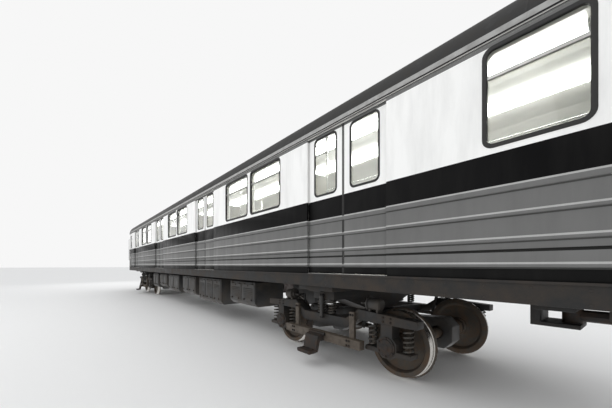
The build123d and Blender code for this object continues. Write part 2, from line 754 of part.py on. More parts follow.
# Hinged doors, as (name, width, plane of the outer or inner face, middle, pivot)
cab_door_mid = CAB_DOOR_X + CAB_DOOR_W / 2
cab_face_y = BODY_HALF_W - CAB_DOOR_SET
cab_back_y = cab_face_y - HINGED_T
cab_pivot_x = CAB_DOOR_X + HINGED_GAP
end_back_x = BODY_HALF_L - HINGED_T
end_pivot_y = END_DOOR_W / 2 - HINGED_GAP
HINGED = [
    ("cab_door_left", CAB_DOOR_W, Plane.XZ.offset(-cab_face_y), cab_door_mid, (cab_pivot_x, cab_back_y)),
    ("cab_door_right", CAB_DOOR_W, Plane.XZ.offset(cab_back_y), cab_door_mid, (cab_pivot_x, -cab_back_y)),
    ("front_door", END_DOOR_W, Plane.YZ.offset(end_back_x), 0, (end_back_x, end_pivot_y)),
    ("rear_door", END_DOOR_W, Plane.YZ.offset(-BODY_HALF_L), 0, (-end_back_x, end_pivot_y)),
]
for name, width, plane, centre, pivot in HINGED:
    save(hinged_leaf(width, plane, centre, pivot), name)

# Ceilings of the saloon and the cab: panels from wall to wall, bent along four lines
edge_y = INNER_Y - FIT
CAB_CEILING_X = PARTITION_X + PARTITION_T + FIT
ceiling_line = CEILING_BENDS + [(edge_y, CEILING_DROP)]


def ceiling_z(y):
    """The height of the ceiling's under face at a distance from the middle."""
    for (near, near_drop), (far, far_drop) in zip(ceiling_line, ceiling_line[1:]):
        if y <= far:
            break
    return CEILING_TOP_Z - CEILING_T - near_drop - (far_drop - near_drop) * (y - near) / (far - near)


with BuildPart() as ceiling:
    under = [(y, ceiling_z(y)) for y, drop in ceiling_line]
    over = [(y, z + CEILING_T) for y, z in reversed(under)]
    for start, end in ((TAIL_X + FIT, PARTITION_X - FIT), (CAB_CEILING_X, NOSE_X - FIT)):
        with BuildSketch(Plane.YZ.offset(start)):
            with BuildLine():
                Polyline(*under, *over, close=True)
            make_face()
            mirror(about=Plane.YZ)
        extrude(amount=end - start)
save(ceiling, "ceiling")

# Ceiling lamps: two long troughs under the saloon's ceiling
lamp_in = LAMP_Y - LAMP_W / 2
lamp_out = LAMP_Y + LAMP_W / 2
with BuildPart() as ceiling_lamps:
    with BuildSketch(Plane.YZ.offset(TAIL_X + LAMP_END)):
        with BuildLine():
            Polyline(
                (lamp_in, ceiling_z(lamp_in) - FIT),
                (lamp_in + LAMP_BEVEL, ceiling_z(lamp_out) - LAMP_DROP),
                (lamp_out - LAMP_BEVEL, ceiling_z(lamp_out) - LAMP_DROP),
                (lamp_out, ceiling_z(lamp_out) - FIT),
                close=True,
            )
        make_face()
        mirror(about=Plane.YZ)
    extrude(amount=PARTITION_X - TAIL_X - 2 * LAMP_END)
save(ceiling_lamps, "ceiling_lamps")

# Benches along both walls, as (middle x, length)
BENCHES = [(m, DOOR_PITCH - DOOR_W - 2 * SEAT_END) for m in BAY_MIDDLES]
rear_bench_l = DOOR_XS[0] - half_door - SEAT_END - TAIL_X - REAR_SEAT_GAP
BENCHES += [(TAIL_X + REAR_SEAT_GAP + rear_bench_l / 2, rear_bench_l)]
bench_y = INNER_Y - FIT

# Seat bases with a toe space, and a screen at each end
with BuildPart() as seat_frames:
    base_top = FLOOR_Z + SEAT_H - CUSHION_T
    for x, length in BENCHES:
        with BuildSketch(Plane.YZ.offset(x - length / 2)):
            with BuildLine():
                Polyline(
                    (bench_y, FLOOR_Z),
                    (bench_y - SEAT_D + SEAT_BASE_SET + SEAT_TOE, FLOOR_Z),
                    (bench_y - SEAT_D + SEAT_BASE_SET, base_top),
                    (bench_y, base_top),
                    close=True,
                )
            make_face()
            mirror(about=Plane.YZ)
        extrude(amount=length)
        for end in (1, -1):
            screen_x = x + end * (length / 2 + SCREEN_T / 2)
            screen_z = FLOOR_Z + SCREEN_H / 2
            screen_y = bench_y - SEAT_D / 2
            with Locations((screen_x, screen_y, screen_z), (screen_x, -screen_y, screen_z)):
                Box(SCREEN_T, SEAT_D, SCREEN_H)
save(seat_frames, "seat_frames")

# Cushions: a seat that slopes to the back, and a back that leans on the wall
with BuildPart() as seat_cushions:
    seat_low = base_top + FIT
    for x, length in BENCHES:
        with BuildSketch(Plane.YZ.offset(x - length / 2 + FIT)):
            with BuildLine():
                Polyline(
                    (bench_y - BACK_T, seat_low),
                    (bench_y - SEAT_D, seat_low),
                    (bench_y - SEAT_D, seat_low + CUSHION_T),
                    (bench_y - BACK_T, seat_low + 0.8 * CUSHION_T),
                    close=True,
                )
            make_face()
            with BuildLine():
                Polyline(
                    (bench_y, seat_low + CUSHION_T),
                    (bench_y - BACK_T, seat_low + CUSHION_T),
                    (bench_y - 0.5 * BACK_T, seat_low + CUSHION_T + BACK_H),
                    (bench_y, seat_low + CUSHION_T + BACK_H),
                    close=True,
                )
            make_face()
            mirror(about=Plane.YZ)
        extrude(amount=length - 2 * FIT)
save(seat_cushions, "seat_cushions")

# Grab rails: a post at each screen, and a rail from post to post above each bench
POST_Y = bench_y - SEAT_D - POLE_R - FIT
rail_z = FLOOR_Z + RAIL_H
with BuildPart() as grab_rails:
    for x, length in BENCHES:
        post_xs = [x + end * (length / 2 + SCREEN_T / 2) for end in (1, -1)]
        with BuildSketch(Plane.XY.offset(FLOOR_Z)):
            with Locations(*[(px, s * POST_Y) for px in post_xs for s in (1, -1)]):
                RegularPolygon(POLE_R, POLE_SIDES)
        extrude(amount=ceiling_z(POST_Y + POLE_R) - FIT - FLOOR_Z)
        with BuildSketch(Plane.YZ.offset(post_xs[1] + POLE_R + FIT)):
            with Locations((POST_Y, rail_z), (-POST_Y, rail_z)):
                RegularPolygon(0.8 * POLE_R, POLE_SIDES)
        extrude(amount=post_xs[0] - post_xs[1] - 2 * (POLE_R + FIT))
save(grab_rails, "grab_rails")

# Driver's desk: a sloped top over a knee space
desk_x = NOSE_X + DESK_SET
desk_end = -TAIL_X - DESK_GAP
desk_top = FLOOR_Z + DESK_H
desk_y = BODY_HALF_W - DESK_SIDE_SET - DESK_W
with BuildPart() as driver_desk:
    with BuildSketch(Plane.XZ.offset(desk_y)):
        with BuildLine():
            Polyline(
                (desk_x + DESK_KNEE, FLOOR_Z),
                (desk_end, FLOOR_Z),
                (desk_end, desk_top),
                (desk_x + DESK_LEDGE, desk_top - DESK_DROPS[0]),
                (desk_x, desk_top - DESK_DROPS[1]),
                (desk_x, desk_top - DESK_DROPS[2]),
                (desk_x + DESK_KNEE, desk_top - DESK_DROPS[3]),
                close=True,
            )
        make_face()
    extrude(amount=DESK_W)
save(driver_desk, "driver_desk")

# Driver's seat: a foot, a column and a seat with its back in one outline
driver_y = DRIVER_SIDE_SET - BODY_HALF_W
seat_z = FLOOR_Z + DRIVER_SEAT_H
pad_low = seat_z - DRIVER_PAD_T
pad_front = DRIVER_X + DRIVER_SEAT_HALF
back_front = DRIVER_X - DRIVER_BACK_X
back_top = seat_z + DRIVER_BACK_H
with BuildPart() as driver_seat:
    with BuildSketch(Plane.XY.offset(FLOOR_Z)):
        with Locations((DRIVER_X, driver_y)):
            RegularPolygon(DRIVER_FOOT_R, POLE_SIDES)
    extrude(amount=DRIVER_FOOT_H)
    with BuildSketch(Plane.XY.offset(FLOOR_Z + DRIVER_FOOT_H)):
        with Locations((DRIVER_X, driver_y)):
            RegularPolygon(DRIVER_STEM_R, POLE_SIDES)
    extrude(amount=pad_low - FLOOR_Z - DRIVER_FOOT_H)
    with BuildSketch(Plane.XZ.offset(-driver_y)):
        with BuildLine():
            Polyline(
                (DRIVER_X - DRIVER_SEAT_HALF, pad_low),
                (pad_front - DRIVER_PAD_EDGE, pad_low),
                (pad_front, pad_low + DRIVER_PAD_EDGE),
                (pad_front, seat_z),
                (back_front, seat_z - DRIVER_PAD_EDGE),
                (back_front - DRIVER_BACK_T + DRIVER_PAD_EDGE, back_top),
                (back_front - 2 * DRIVER_BACK_T + DRIVER_PAD_EDGE, back_top),
                close=True,
            )
        make_face()
    extrude(amount=DRIVER_SEAT_HALF, both=True)
save(driver_seat, "driver_seat")

# Roof vents: low scoops in two rows, each on a flat foot that lies along the crown's slope
with BuildPart() as roof_vents:
    vent_rest = crown_point(-FIT, VENT_Y)[1]
    vent_fall = VENT_W / 2 * VENT_Y / sqrt(CROWN_R**2 - VENT_Y**2)
    for i in range(VENT_COUNT):
        with BuildSketch(Plane.YZ.offset(VENT_PITCH * (i - (VENT_COUNT - 1) / 2) - VENT_L / 2)):
            with BuildLine():
                Polyline(
                    (VENT_Y - VENT_W / 2, vent_rest + vent_fall),
                    (VENT_Y + VENT_W / 2, vent_rest - vent_fall),
                    (VENT_Y + 0.4 * VENT_W, vent_rest - vent_fall + VENT_RISE),
                    (VENT_Y - 0.3 * VENT_W, vent_rest + vent_fall + 0.3 * VENT_RISE),
                    close=True,
                )
            make_face()
            mirror(about=Plane.YZ)
        extrude(amount=VENT_L)
save(roof_vents, "roof_vents")

# Equipment boxes hung under the sills, each with its lower outer edge cut
equipment_y = BODY_HALF_W - EQUIPMENT_SIDE_SET
with BuildPart() as equipment_boxes:
    for share, s, length_share, width, height in EQUIPMENT:
        box_low = HANG_Z - height
        with BuildSketch(Plane.YZ.offset(RACK_HALF_L * (share - length_share / 2))):
            with BuildLine():
                Polyline(
                    (s * (equipment_y - width), HANG_Z),
                    (s * equipment_y, HANG_Z),
                    (s * equipment_y, box_low + EQUIPMENT_CUT),
                    (s * (equipment_y - EQUIPMENT_CUT), box_low),
                    (s * (equipment_y - width), box_low),
                    close=True,
                )
            make_face()
        extrude(amount=RACK_HALF_L * length_share)
save(equipment_boxes, "equipment_boxes")

# Braking resistors: a bank of upright plates between two trays
resistor_x = RESISTOR_SHARE * RACK_HALF_L
resistor_y = RESISTOR_W / 2 - equipment_y
resistor_l = RESISTOR_L_SHARE * RACK_HALF_L
plate_step = resistor_l / PLATE_COUNT
plate_xs = [resistor_x + plate_step * (i - (PLATE_COUNT - 1) / 2) for i in range(PLATE_COUNT)]
tray_zs = [HANG_Z - RESISTOR_T / 2, HANG_Z - RESISTOR_H + RESISTOR_T / 2]
with BuildPart() as resistor_bank:
    with Locations(*[(resistor_x, resistor_y, z) for z in tray_zs]):
        Box(resistor_l, RESISTOR_W, RESISTOR_T)
    with Locations(*[(x, resistor_y, HANG_Z - RESISTOR_H / 2) for x in plate_xs]):
        Box(PLATE_T, RESISTOR_W - 2 * PLATE_SET, RESISTOR_H - 2 * (RESISTOR_T + FIT))
save(resistor_bank, "resistor_bank")

# Air reservoirs along the middle, each hung by two straps from the floor
with BuildPart() as air_reservoirs:
    strap_low = HANG_Z - RESERVOIR_DROP + FIT
    strap_high = FRAME_Z - FIT
    for share, y in RESERVOIRS:
        x = share * RACK_HALF_L
        with BuildSketch(Plane.YZ.offset(x - RESERVOIR_L / 2)):
            with Locations((y, HANG_Z - RESERVOIR_DROP - RESERVOIR_R)):
                Circle(RESERVOIR_R)
        extrude(amount=RESERVOIR_L)
        strap_z = (strap_low + strap_high) / 2
        with Locations((x - STRAP_STEP, y, strap_z), (x + STRAP_STEP, y, strap_z)):
            Box(STRAP_W, RESERVOIR_R, strap_high - strap_low)
save(air_reservoirs, "air_reservoirs")


def wheelset():
    """An axle with two flanged wheels, turned from one outline about the axle."""
    back = WHEEL_GAP / 2
    end = BEAM_Y + BOX_T / 2 - BOX_WALL - FIT
    half = [
        (AXLE_R, 0),
        (AXLE_R, back),
        (WHEEL_R + FLANGE, back),
        (WHEEL_R, back + FLANGE_W),
        (WHEEL_R, back + WHEEL_W),
        (JOURNAL_R, back + WHEEL_W),
        (JOURNAL_R, end),
        (0, end),
    ]
    with BuildPart() as turned:
        with BuildSketch(Plane.XY):
            with BuildLine():
                Polyline((0, 0), *half, close=True)
            make_face()
            mirror(about=Plane.XZ)
        revolve(axis=Axis.Y)
    return turned.part


def bogie_frame(centre_x):
    """Drop-centre side beams, transoms, the crosshead on its bearing, horns and axle boxes."""
    with BuildPart() as frame:
        # Side beams, with their ends raised over the axle boxes
        with BuildSketch(Plane.XZ.offset(-BEAM_Y - BEAM_W / 2)):
            with BuildLine():
                Polyline(
                    (centre_x - BEAM_HALF_L, BEAM_END_Z),
                    (centre_x - DROP_X - DROP_RUN, BEAM_END_Z),
                    (centre_x - DROP_X, BEAM_MID_Z),
                    (centre_x + DROP_X, BEAM_MID_Z),
                    (centre_x + DROP_X + DROP_RUN, BEAM_END_Z),
                    (centre_x + BEAM_HALF_L, BEAM_END_Z),
                    (centre_x + BEAM_HALF_L, BEAM_END_Z + BEAM_TIP * BEAM_H),
                    (centre_x + DROP_X + DROP_RUN, BEAM_END_Z + BEAM_H),
                    (centre_x + DROP_X, BEAM_MID_Z + BEAM_H),
                    (centre_x - DROP_X, BEAM_MID_Z + BEAM_H),
                    (centre_x - DROP_X - DROP_RUN, BEAM_END_Z + BEAM_H),
                    (centre_x - BEAM_HALF_L, BEAM_END_Z + BEAM_TIP * BEAM_H),
                    close=True,
                )
            make_face()
        extrude(amount=BEAM_W)
        mirror(about=Plane.XZ)
        beam_mid = BEAM_MID_Z + BEAM_H / 2
        inner_l = 2 * BEAM_Y - BEAM_W
        with Locations((centre_x + TRANSOM_X, 0, beam_mid), (centre_x - TRANSOM_X, 0, beam_mid)):
            Box(TRANSOM_W, inner_l, BEAM_H)
        # Crosshead on the springs, deep in the middle, with the centre bearing on it
        crosshead_top = BOLSTER_Z - FIT - BEARING_H
        crosshead_low = crosshead_top - CROSSHEAD_H
        with BuildSketch(Plane.YZ.offset(centre_x - CROSSHEAD_W / 2)):
            with BuildLine():
                Polyline(
                    (0, crosshead_top),
                    (BEAM_Y + BEAM_W / 2, crosshead_top),
                    (BEAM_Y + BEAM_W / 2, crosshead_low),
                    (BEAM_Y - BEAM_W, crosshead_low),
                    (BEARING_R + CROSSHEAD_EDGE, BEAM_MID_Z + BEAM_H),
                    (0, BEAM_MID_Z + BEAM_H),
                    close=True,
                )
            make_face()
            mirror(about=Plane.YZ)
        extrude(amount=CROSSHEAD_W)
        with Locations((centre_x, 0, beam_mid)):
            Box(2 * TRANSOM_X - TRANSOM_W, 2 * BEARING_R, BEAM_H)
        with BuildSketch(Plane.XY.offset(crosshead_top)):
            with Locations((centre_x, 0)):
                Circle(BEARING_R)
        extrude(amount=BEARING_H)
        # Axle boxes: eight-sided housings with their horns and the wings that carry the springs
        for s in (1, -1):
            for t in (1, -1):
                axle_x = centre_x + s * WHEEL_BASE / 2
                inner_y = t * (BEAM_Y - BOX_T / 2)
                with BuildSketch(Plane.XZ.offset(-inner_y)):
                    with Locations((axle_x, AXLE_Z)):
                        RegularPolygon(BOX_R, 8, rotation=22.5)
                    with Locations((axle_x, (AXLE_Z + BEAM_END_Z) / 2)):
                        Rectangle(HORN_W, BEAM_END_Z - AXLE_Z)
                    with Locations((axle_x, AXLE_Z - WING_DROP)):
                        Rectangle(2 * WING_L, WING_H)
                extrude(amount=-t * BOX_T)
                pocket_l = BOX_T - BOX_WALL
                with Locations((axle_x, inner_y + t * pocket_l / 2, AXLE_Z)):
                    Box(2 * (JOURNAL_R + FIT), pocket_l, 2 * (JOURNAL_R + FIT), mode=Mode.SUBTRACT)
    return frame


def bogie_springs(centre_x):
    """Axle-box springs between wings and beams, and crosshead springs on the beams."""
    wing_top = AXLE_Z - WING_DROP + WING_H / 2
    crosshead_low = BOLSTER_Z - FIT - BEARING_H - CROSSHEAD_H
    # As (low z, high z, distances from the bogie's middle)
    axle_steps = [s * WHEEL_BASE / 2 + t * SPRING_X for s in (1, -1) for t in (1, -1)]
    rows = [
        (wing_top + FIT, BEAM_END_Z - FIT, axle_steps),
        (BEAM_MID_Z + BEAM_H + FIT, crosshead_low - FIT, [CROSS_SPRING_X, -CROSS_SPRING_X]),
    ]
    with BuildPart() as springs:
        for low, high, steps in rows:
            with BuildSketch(Plane.XY.offset(low)):
                with Locations(*[(centre_x + step, s * BEAM_Y) for step in steps for s in (1, -1)]):
                    RegularPolygon(SPRING_R, SPRING_SIDES)
            extrude(amount=high - low)
    return springs


def traction_motors(centre_x):
    """Two eight-sided motors with their noses on the transoms and gear cases round the axles."""
    gear_flat = GEAR_R - GEAR_CORNER
    with BuildPart() as motors:
        for s in (1, -1):
            motor_x = centre_x + s * MOTOR_X
            motor_y = -s * MOTOR_Y
            motor_z = AXLE_Z + MOTOR_RISE
            axle_x = centre_x + s * WHEEL_BASE / 2
            with BuildSketch(Plane.XZ.offset(-motor_y - MOTOR_L / 2)):
                with Locations((motor_x, motor_z)):
                    RegularPolygon(MOTOR_R, 8, rotation=22.5)
            extrude(amount=MOTOR_L)
            reach = MOTOR_X - TRANSOM_X - TRANSOM_W / 2 - FIT
            with Locations((motor_x - s * reach / 2, motor_y, BEAM_MID_Z + BEAM_H / 2)):
                Box(reach, MOTOR_L / 2, MOTOR_NOSE_H)
            with BuildSketch(Plane.XZ.offset(-s * GEAR_Y - GEAR_W / 2)):
                with BuildLine():
                    Polyline(
                        (axle_x + s * GEAR_R, AXLE_Z - gear_flat),
                        (axle_x + s * GEAR_R, AXLE_Z + gear_flat),
                        (axle_x + s * gear_flat, AXLE_Z + GEAR_R),
                        (motor_x, motor_z + PINION_R),
                        (motor_x, motor_z - PINION_R),
                        (axle_x - s * gear_flat, AXLE_Z - GEAR_R),
                        (axle_x + s * gear_flat, AXLE_Z - GEAR_R),
                        close=True,
                    )
                make_face()
                with Locations((axle_x, AXLE_Z)):
                    RegularPolygon(AXLE_R + AXLE_CLEAR, 12, major_radius=False, mode=Mode.SUBTRACT)
            extrude(amount=GEAR_W)
    return motors


def brake_gear(centre_x):
    """A shoe on each wheel's tread, carried by an arm from the transom."""
    with BuildPart() as brakes:
        shoe_in = WHEEL_R + SHOE_GAP
        for s in (1, -1):
            axle_x = centre_x + s * WHEEL_BASE / 2
            for t in (1, -1):
                with BuildSketch(Plane.XZ.offset(-t * SHOE_Y)):
                    with Locations((axle_x - s * (shoe_in - SHOE_T / 2), AXLE_Z)):
                        Rectangle(3 * SHOE_T, SHOE_H)
                    with Locations((axle_x, AXLE_Z)):
                        Circle(shoe_in, mode=Mode.SUBTRACT)
                extrude(amount=SHOE_W / 2, both=True)
                arm_x = centre_x + s * (TRANSOM_X + TRANSOM_W / 2 + FIT)
                shoe_x = axle_x - s * (shoe_in + SHOE_T)
                with Locations(((arm_x + shoe_x) / 2, t * SHOE_Y, BEAM_MID_Z + ARM_T / 2)):
                    Box(abs(shoe_x - arm_x), SHOE_W - 2 * ARM_SET, ARM_T)
    return brakes


def current_collectors(centre_x):
    """A beam on each side with its brackets, and the arm and shoe that reach the contact rail."""
    bracket_y = BEAM_Y + BEAM_W / 2 + FIT
    beam_y = bracket_y + BRACKET_T / 2 + COLLECTOR_BEAM_W / 2
    beam_z = AXLE_Z - COLLECTOR_DROP
    pad_z = COLLECTOR_Z + PAD_T
    arm_y = beam_y + COLLECTOR_BEAM_W / 2
    arm_out = arm_y + COLLECTOR_ARM_OUT
    with BuildPart() as collectors:
        with Locations((centre_x, beam_y, beam_z)):
            Box(COLLECTOR_BEAM_L, COLLECTOR_BEAM_W, COLLECTOR_BEAM_H)
        bracket_low = beam_z - COLLECTOR_BEAM_H / 2
        bracket_high = BEAM_END_Z + BRACKET_RISE
        for step in (BRACKET_X, -BRACKET_X):
            bracket_z = (bracket_low + bracket_high) / 2
            with Locations((centre_x + step, bracket_y + BRACKET_T / 2, bracket_z)):
                Box(BRACKET_T * 2, BRACKET_T, bracket_high - bracket_low)
        # The arm and its shoe, as one bent bar seen along the car
        with BuildSketch(Plane.YZ.offset(centre_x - PAD_L / 2)):
            with BuildLine():
                Polyline(
                    (arm_y, beam_z + COLLECTOR_ARM_H / 2),
                    (arm_out, beam_z + COLLECTOR_ARM_H / 5),
                    (arm_out + COLLECTOR_ARM_T, pad_z),
                    (COLLECTOR_Y, pad_z),
                    (COLLECTOR_Y, pad_z - PAD_T),
                    (arm_out, pad_z - PAD_T),
                    (arm_out - COLLECTOR_ARM_T, beam_z - COLLECTOR_ARM_H / 2),
                    (arm_y, beam_z - COLLECTOR_ARM_H / 2),
                    close=True,
                )
            make_face()
        extrude(amount=PAD_L)
        mirror(about=Plane.XZ)
    return collectors


for end, centre_x in (("front", PIVOT_X), ("rear", -PIVOT_X)):
    save(bogie_frame(centre_x), f"bogie_frame_{end}")
    save(bogie_springs(centre_x), f"bogie_springs_{end}")
    save(traction_motors(centre_x), f"traction_motors_{end}")
    save(brake_gear(centre_x), f"brake_gear_{end}")
    save(current_collectors(centre_x), f"current_collectors_{end}")

one_wheelset = wheelset()
AXLE_XS = [x + s * WHEEL_BASE / 2 for x in (PIVOT_X, -PIVOT_X) for s in (1, -1)]
for number, x in enumerate(AXLE_XS, 1):
    save_copy(one_wheelset.moved(Location((x, 0, AXLE_Z))), f"wheelset_{number}")

# Coupler at the front: the eye, the shank, the head with its funnel and the contact box below
with BuildPart() as coupler:
    with Locations((COUPLER_PIN_X, 0, COUPLER_Z)):
        Cylinder(EYE_R, EYE_H)
    with BuildSketch(Plane.YZ.offset(COUPLER_PIN_X + EYE_R / 2)):
        with Locations((0, COUPLER_Z)):
            RegularPolygon(SHANK_R, SHANK_SIDES)
    extrude(amount=COUPLER_REACH - HEAD_L - COUPLER_PIN_X - EYE_R / 2)
    with BuildSketch(Plane.YZ.offset(COUPLER_REACH - HEAD_L)):
        with Locations((0, COUPLER_Z)):
            add(cut_corners(HEAD_W, HEAD_H, HEAD_CORNER))
    extrude(amount=HEAD_L)
    with BuildSketch(Plane.YZ.offset(COUPLER_REACH)):
        with Locations((FUNNEL_Y, COUPLER_Z)):
            Rectangle(FUNNEL_W, FUNNEL_W)
    extrude(amount=-FUNNEL_DEPTH, taper=FUNNEL_ANGLE, mode=Mode.SUBTRACT)
    with BuildSketch(Plane.YZ.offset(COUPLER_REACH - HEAD_L + CONTACT_SET)):
        with Locations((0, COUPLER_Z - CONTACT_DROP)):
            add(cut_corners(CONTACT_W, CONTACT_H, HEAD_CORNER / 2))
    extrude(amount=CONTACT_L)
save(coupler, "coupler_front")
save_copy(coupler.part.rotate(Axis.Z, 180), "coupler_rear")
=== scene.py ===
"""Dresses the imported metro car: finishes, windows, running gear, inside and stage."""

import json
import math

import bpy
from mathutils import Matrix, Vector

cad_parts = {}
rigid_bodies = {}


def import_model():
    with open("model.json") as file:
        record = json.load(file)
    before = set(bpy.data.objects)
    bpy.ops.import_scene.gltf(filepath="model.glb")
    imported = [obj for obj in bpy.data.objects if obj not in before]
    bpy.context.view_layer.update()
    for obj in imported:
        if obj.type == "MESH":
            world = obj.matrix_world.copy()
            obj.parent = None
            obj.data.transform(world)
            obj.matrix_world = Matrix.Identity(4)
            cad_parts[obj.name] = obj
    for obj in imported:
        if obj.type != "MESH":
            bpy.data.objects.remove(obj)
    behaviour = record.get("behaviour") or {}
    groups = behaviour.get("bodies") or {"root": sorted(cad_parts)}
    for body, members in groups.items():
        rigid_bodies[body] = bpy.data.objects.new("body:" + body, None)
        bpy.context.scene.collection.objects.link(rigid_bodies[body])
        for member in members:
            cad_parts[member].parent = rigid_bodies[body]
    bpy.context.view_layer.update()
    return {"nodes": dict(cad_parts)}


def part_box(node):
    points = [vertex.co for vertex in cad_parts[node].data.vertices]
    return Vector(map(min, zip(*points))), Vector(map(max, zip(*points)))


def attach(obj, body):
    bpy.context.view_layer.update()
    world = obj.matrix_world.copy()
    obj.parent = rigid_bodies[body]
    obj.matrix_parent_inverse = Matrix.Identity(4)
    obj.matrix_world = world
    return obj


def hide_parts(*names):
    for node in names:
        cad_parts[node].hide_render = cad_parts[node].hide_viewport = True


bl_info = {
    "name": "Metro car dressing",
    "version": (1, 0, 0),
    "blender": (4, 5, 0),
    "location": "View3D > Sidebar > Metro car",
    "description": "Adds finishes, fittings and a stage to a metro car's frame",
    "category": "Object",
}

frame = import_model()

# Places in the shared frame, in metres, as the solids have them
SIDE_Y = 1.35  # the face of the side panels
RIB_GROOVE_Z = 1.454
RIBS = ((1.348, 0.036), (1.538, 0.036), (1.728, 0.036), (1.918, 0.054))  # middle and height
NOSE_X = 8.93  # where the side meets the nose
END_X = 9.385
FLOOR_Z = 1.236
SILL_Z = 2.253  # the windows' lower and upper edges
HEAD_Z = 3.013
DOOR_XS = (6.9, 2.3, -2.3, -6.9)
BAY_XS = (4.6, 0.0, -4.6)
WINDOW_W = 0.95
WINDOW_STEP = 0.53
TAIL_WINDOW_X = -8.744
TAIL_WINDOW_W = 0.62
END_WINDOW_Y = 0.72
END_WINDOW_W = 0.7
LEAF_WINDOW_W = 0.41
LEAF_Y = 1.312  # the outer face of a sliding leaf
GLASS_Y = 1.324
PIVOTS = {"front": 6.3, "rear": -6.3}
AXLE_STEP = 1.05  # from a bogie's pivot to its axles
AXLE_XS = [pivot + step for pivot in PIVOTS.values() for step in (AXLE_STEP, -AXLE_STEP)]
AXLE_Z = 0.418
BEAM_Y = 1.01  # the middle of a bogie frame's side beam
COUPLER_Z = 0.856
# The benches' middles, lengths and numbers of places, from the front to the tail
BENCHES = ((4.6, 2.9, 5), (0.0, 2.9, 5), (-4.6, 2.9, 5), (-8.4775, 1.455, 3))
SCREEN = 0.012  # half the thickness of the screens at a bench's ends
LAMP_XS = (-8.93, 7.48)  # where the saloon's lamps start and end


def linear(hex_colour):
    """Turns an sRGB hex colour into Blender's linear colour."""
    parts = [int(hex_colour[i : i + 2], 16) / 255 for i in (1, 3, 5)]
    return tuple(p / 12.92 if p <= 0.04045 else ((p + 0.055) / 1.055) ** 2.4 for p in parts)


def colour_property(name, description, hex_colour):
    settings = {"subtype": "COLOR", "size": 3, "min": 0, "max": 1, "default": linear(hex_colour)}
    return bpy.props.FloatVectorProperty(name=name, description=description, **settings)


class MetroPaints(bpy.types.PropertyGroup):
    """The car's colours."""

    side: colour_property("Side", "Enamel of the lower side panels", "#737372")
    band: colour_property("Dark band", "Enamel of the band below the windows", "#060607")
    light: colour_property("Window band", "Enamel between and above the windows", "#fbfbf9")
    roof: colour_property("Roof", "Matt paint of the roof", "#262626")
    frame: colour_property("Underframe", "Bitumen paint of the underframe and bogies", "#131313")
    lining: colour_property("Lining", "Laminate of the ceiling and walls inside", "#e4e3df")
    seats: colour_property("Seats", "Leatherette of the seats", "#4a3a32")
    floor: colour_property("Floor covering", "Rubber floor of the saloon", "#55524e")


class MetroSizes(bpy.types.PropertyGroup):
    """Sizes of the fittings, and the strength of the light inside."""

    gasket: bpy.props.FloatProperty(
        name="Gasket width", description="Rubber seen round a window", default=0.034, unit="LENGTH"
    )
    edge: bpy.props.FloatProperty(
        name="Edge radius", description="Rounding of pressed and welded edges", default=0.003, unit="LENGTH"
    )
    coil_turns: bpy.props.IntProperty(
        name="Spring turns", description="Turns of each coil spring", default=5, min=2, max=12
    )
    lamp_power: bpy.props.FloatProperty(
        name="Lamp power", description="Emission of the saloon's lamps", default=12.0, min=0
    )


# Ways of modelling


def free():
    """Goes back to object mode with nothing selected."""
    if bpy.context.object and bpy.context.object.mode != "OBJECT":
        bpy.ops.object.mode_set(mode="OBJECT")
    bpy.ops.object.select_all(action="DESELECT")


def take(*pieces):
    """Selects pieces, the first of them active."""
    free()
    for piece in pieces:
        piece.select_set(True)
    bpy.context.view_layer.objects.active = pieces[0]


def edit(piece, select="SELECT"):
    """Opens a piece in edit mode with all or none of it selected."""
    take(piece)
    bpy.ops.object.mode_set(mode="EDIT")
    bpy.ops.mesh.select_mode(type="VERT")
    bpy.ops.mesh.select_all(action=select)


def pick_faces(piece, test):
    """In edit mode, selects the faces whose middle and normal pass a test."""
    bpy.ops.mesh.select_mode(type="FACE")
    bpy.ops.mesh.select_all(action="DESELECT")
    bpy.ops.object.mode_set(mode="OBJECT")
    for face in piece.data.polygons:
        face.select = bool(test(face.center, face.normal))
    bpy.ops.object.mode_set(mode="EDIT")


def place(piece, name=None):
    """Puts the piece's place into its mesh, so that its object sits at the origin."""
    take(piece)
    bpy.ops.object.transform_apply(location=True, rotation=True, scale=True)
    if name:
        piece.name = name
        piece.data.name = name
    return piece


def modify(piece, kind, **settings):
    """Adds one modifier and applies it."""
    take(piece)
    modifier = piece.modifiers.new(kind.title(), kind)
    for key, value in settings.items():
        setattr(modifier, key, value)
    bpy.ops.object.modifier_apply(modifier=modifier.name)
    return piece


def soften(piece, width, segments=2):
    """Rounds the edges that turn by more than 30 degrees."""
    return modify(piece, "BEVEL", width=width, segments=segments, limit_method="ANGLE", angle_limit=0.52)


def smooth(piece, angle=0.7):
    take(piece)
    bpy.ops.object.shade_smooth_by_angle(angle=angle)
    return piece


def face_out(piece):
    """Merges doubles and turns all faces outwards."""
    edit(piece)
    bpy.ops.mesh.remove_doubles(threshold=0.00002)
    bpy.ops.mesh.normals_make_consistent(inside=False)
    free()
    return piece


def block(name, low, high, edge=0.0, segments=2):
    """A box between two corners, with its edges rounded."""
    free()
    middle = [(a + b) / 2 for a, b in zip(low, high)]
    bpy.ops.mesh.primitive_cube_add(size=1, location=middle)
    piece = bpy.context.object
    piece.scale = [abs(b - a) for a, b in zip(low, high)]
    place(piece, name)
    return soften(piece, edge, segments) if edge else piece


def rod(name, start, end, radius, vertices=20, edge=0.0):
    """A round bar from one point to another."""
    free()
    start, end = Vector(start), Vector(end)
    run = end - start
    bpy.ops.mesh.primitive_cylinder_add(
        vertices=vertices,
        radius=radius,
        depth=run.length,
        location=(start + end) / 2,
        rotation=run.to_track_quat("Z", "Y").to_euler(),
    )
    piece = place(bpy.context.object, name)
    if edge:
        soften(piece, edge)
    return smooth(piece)


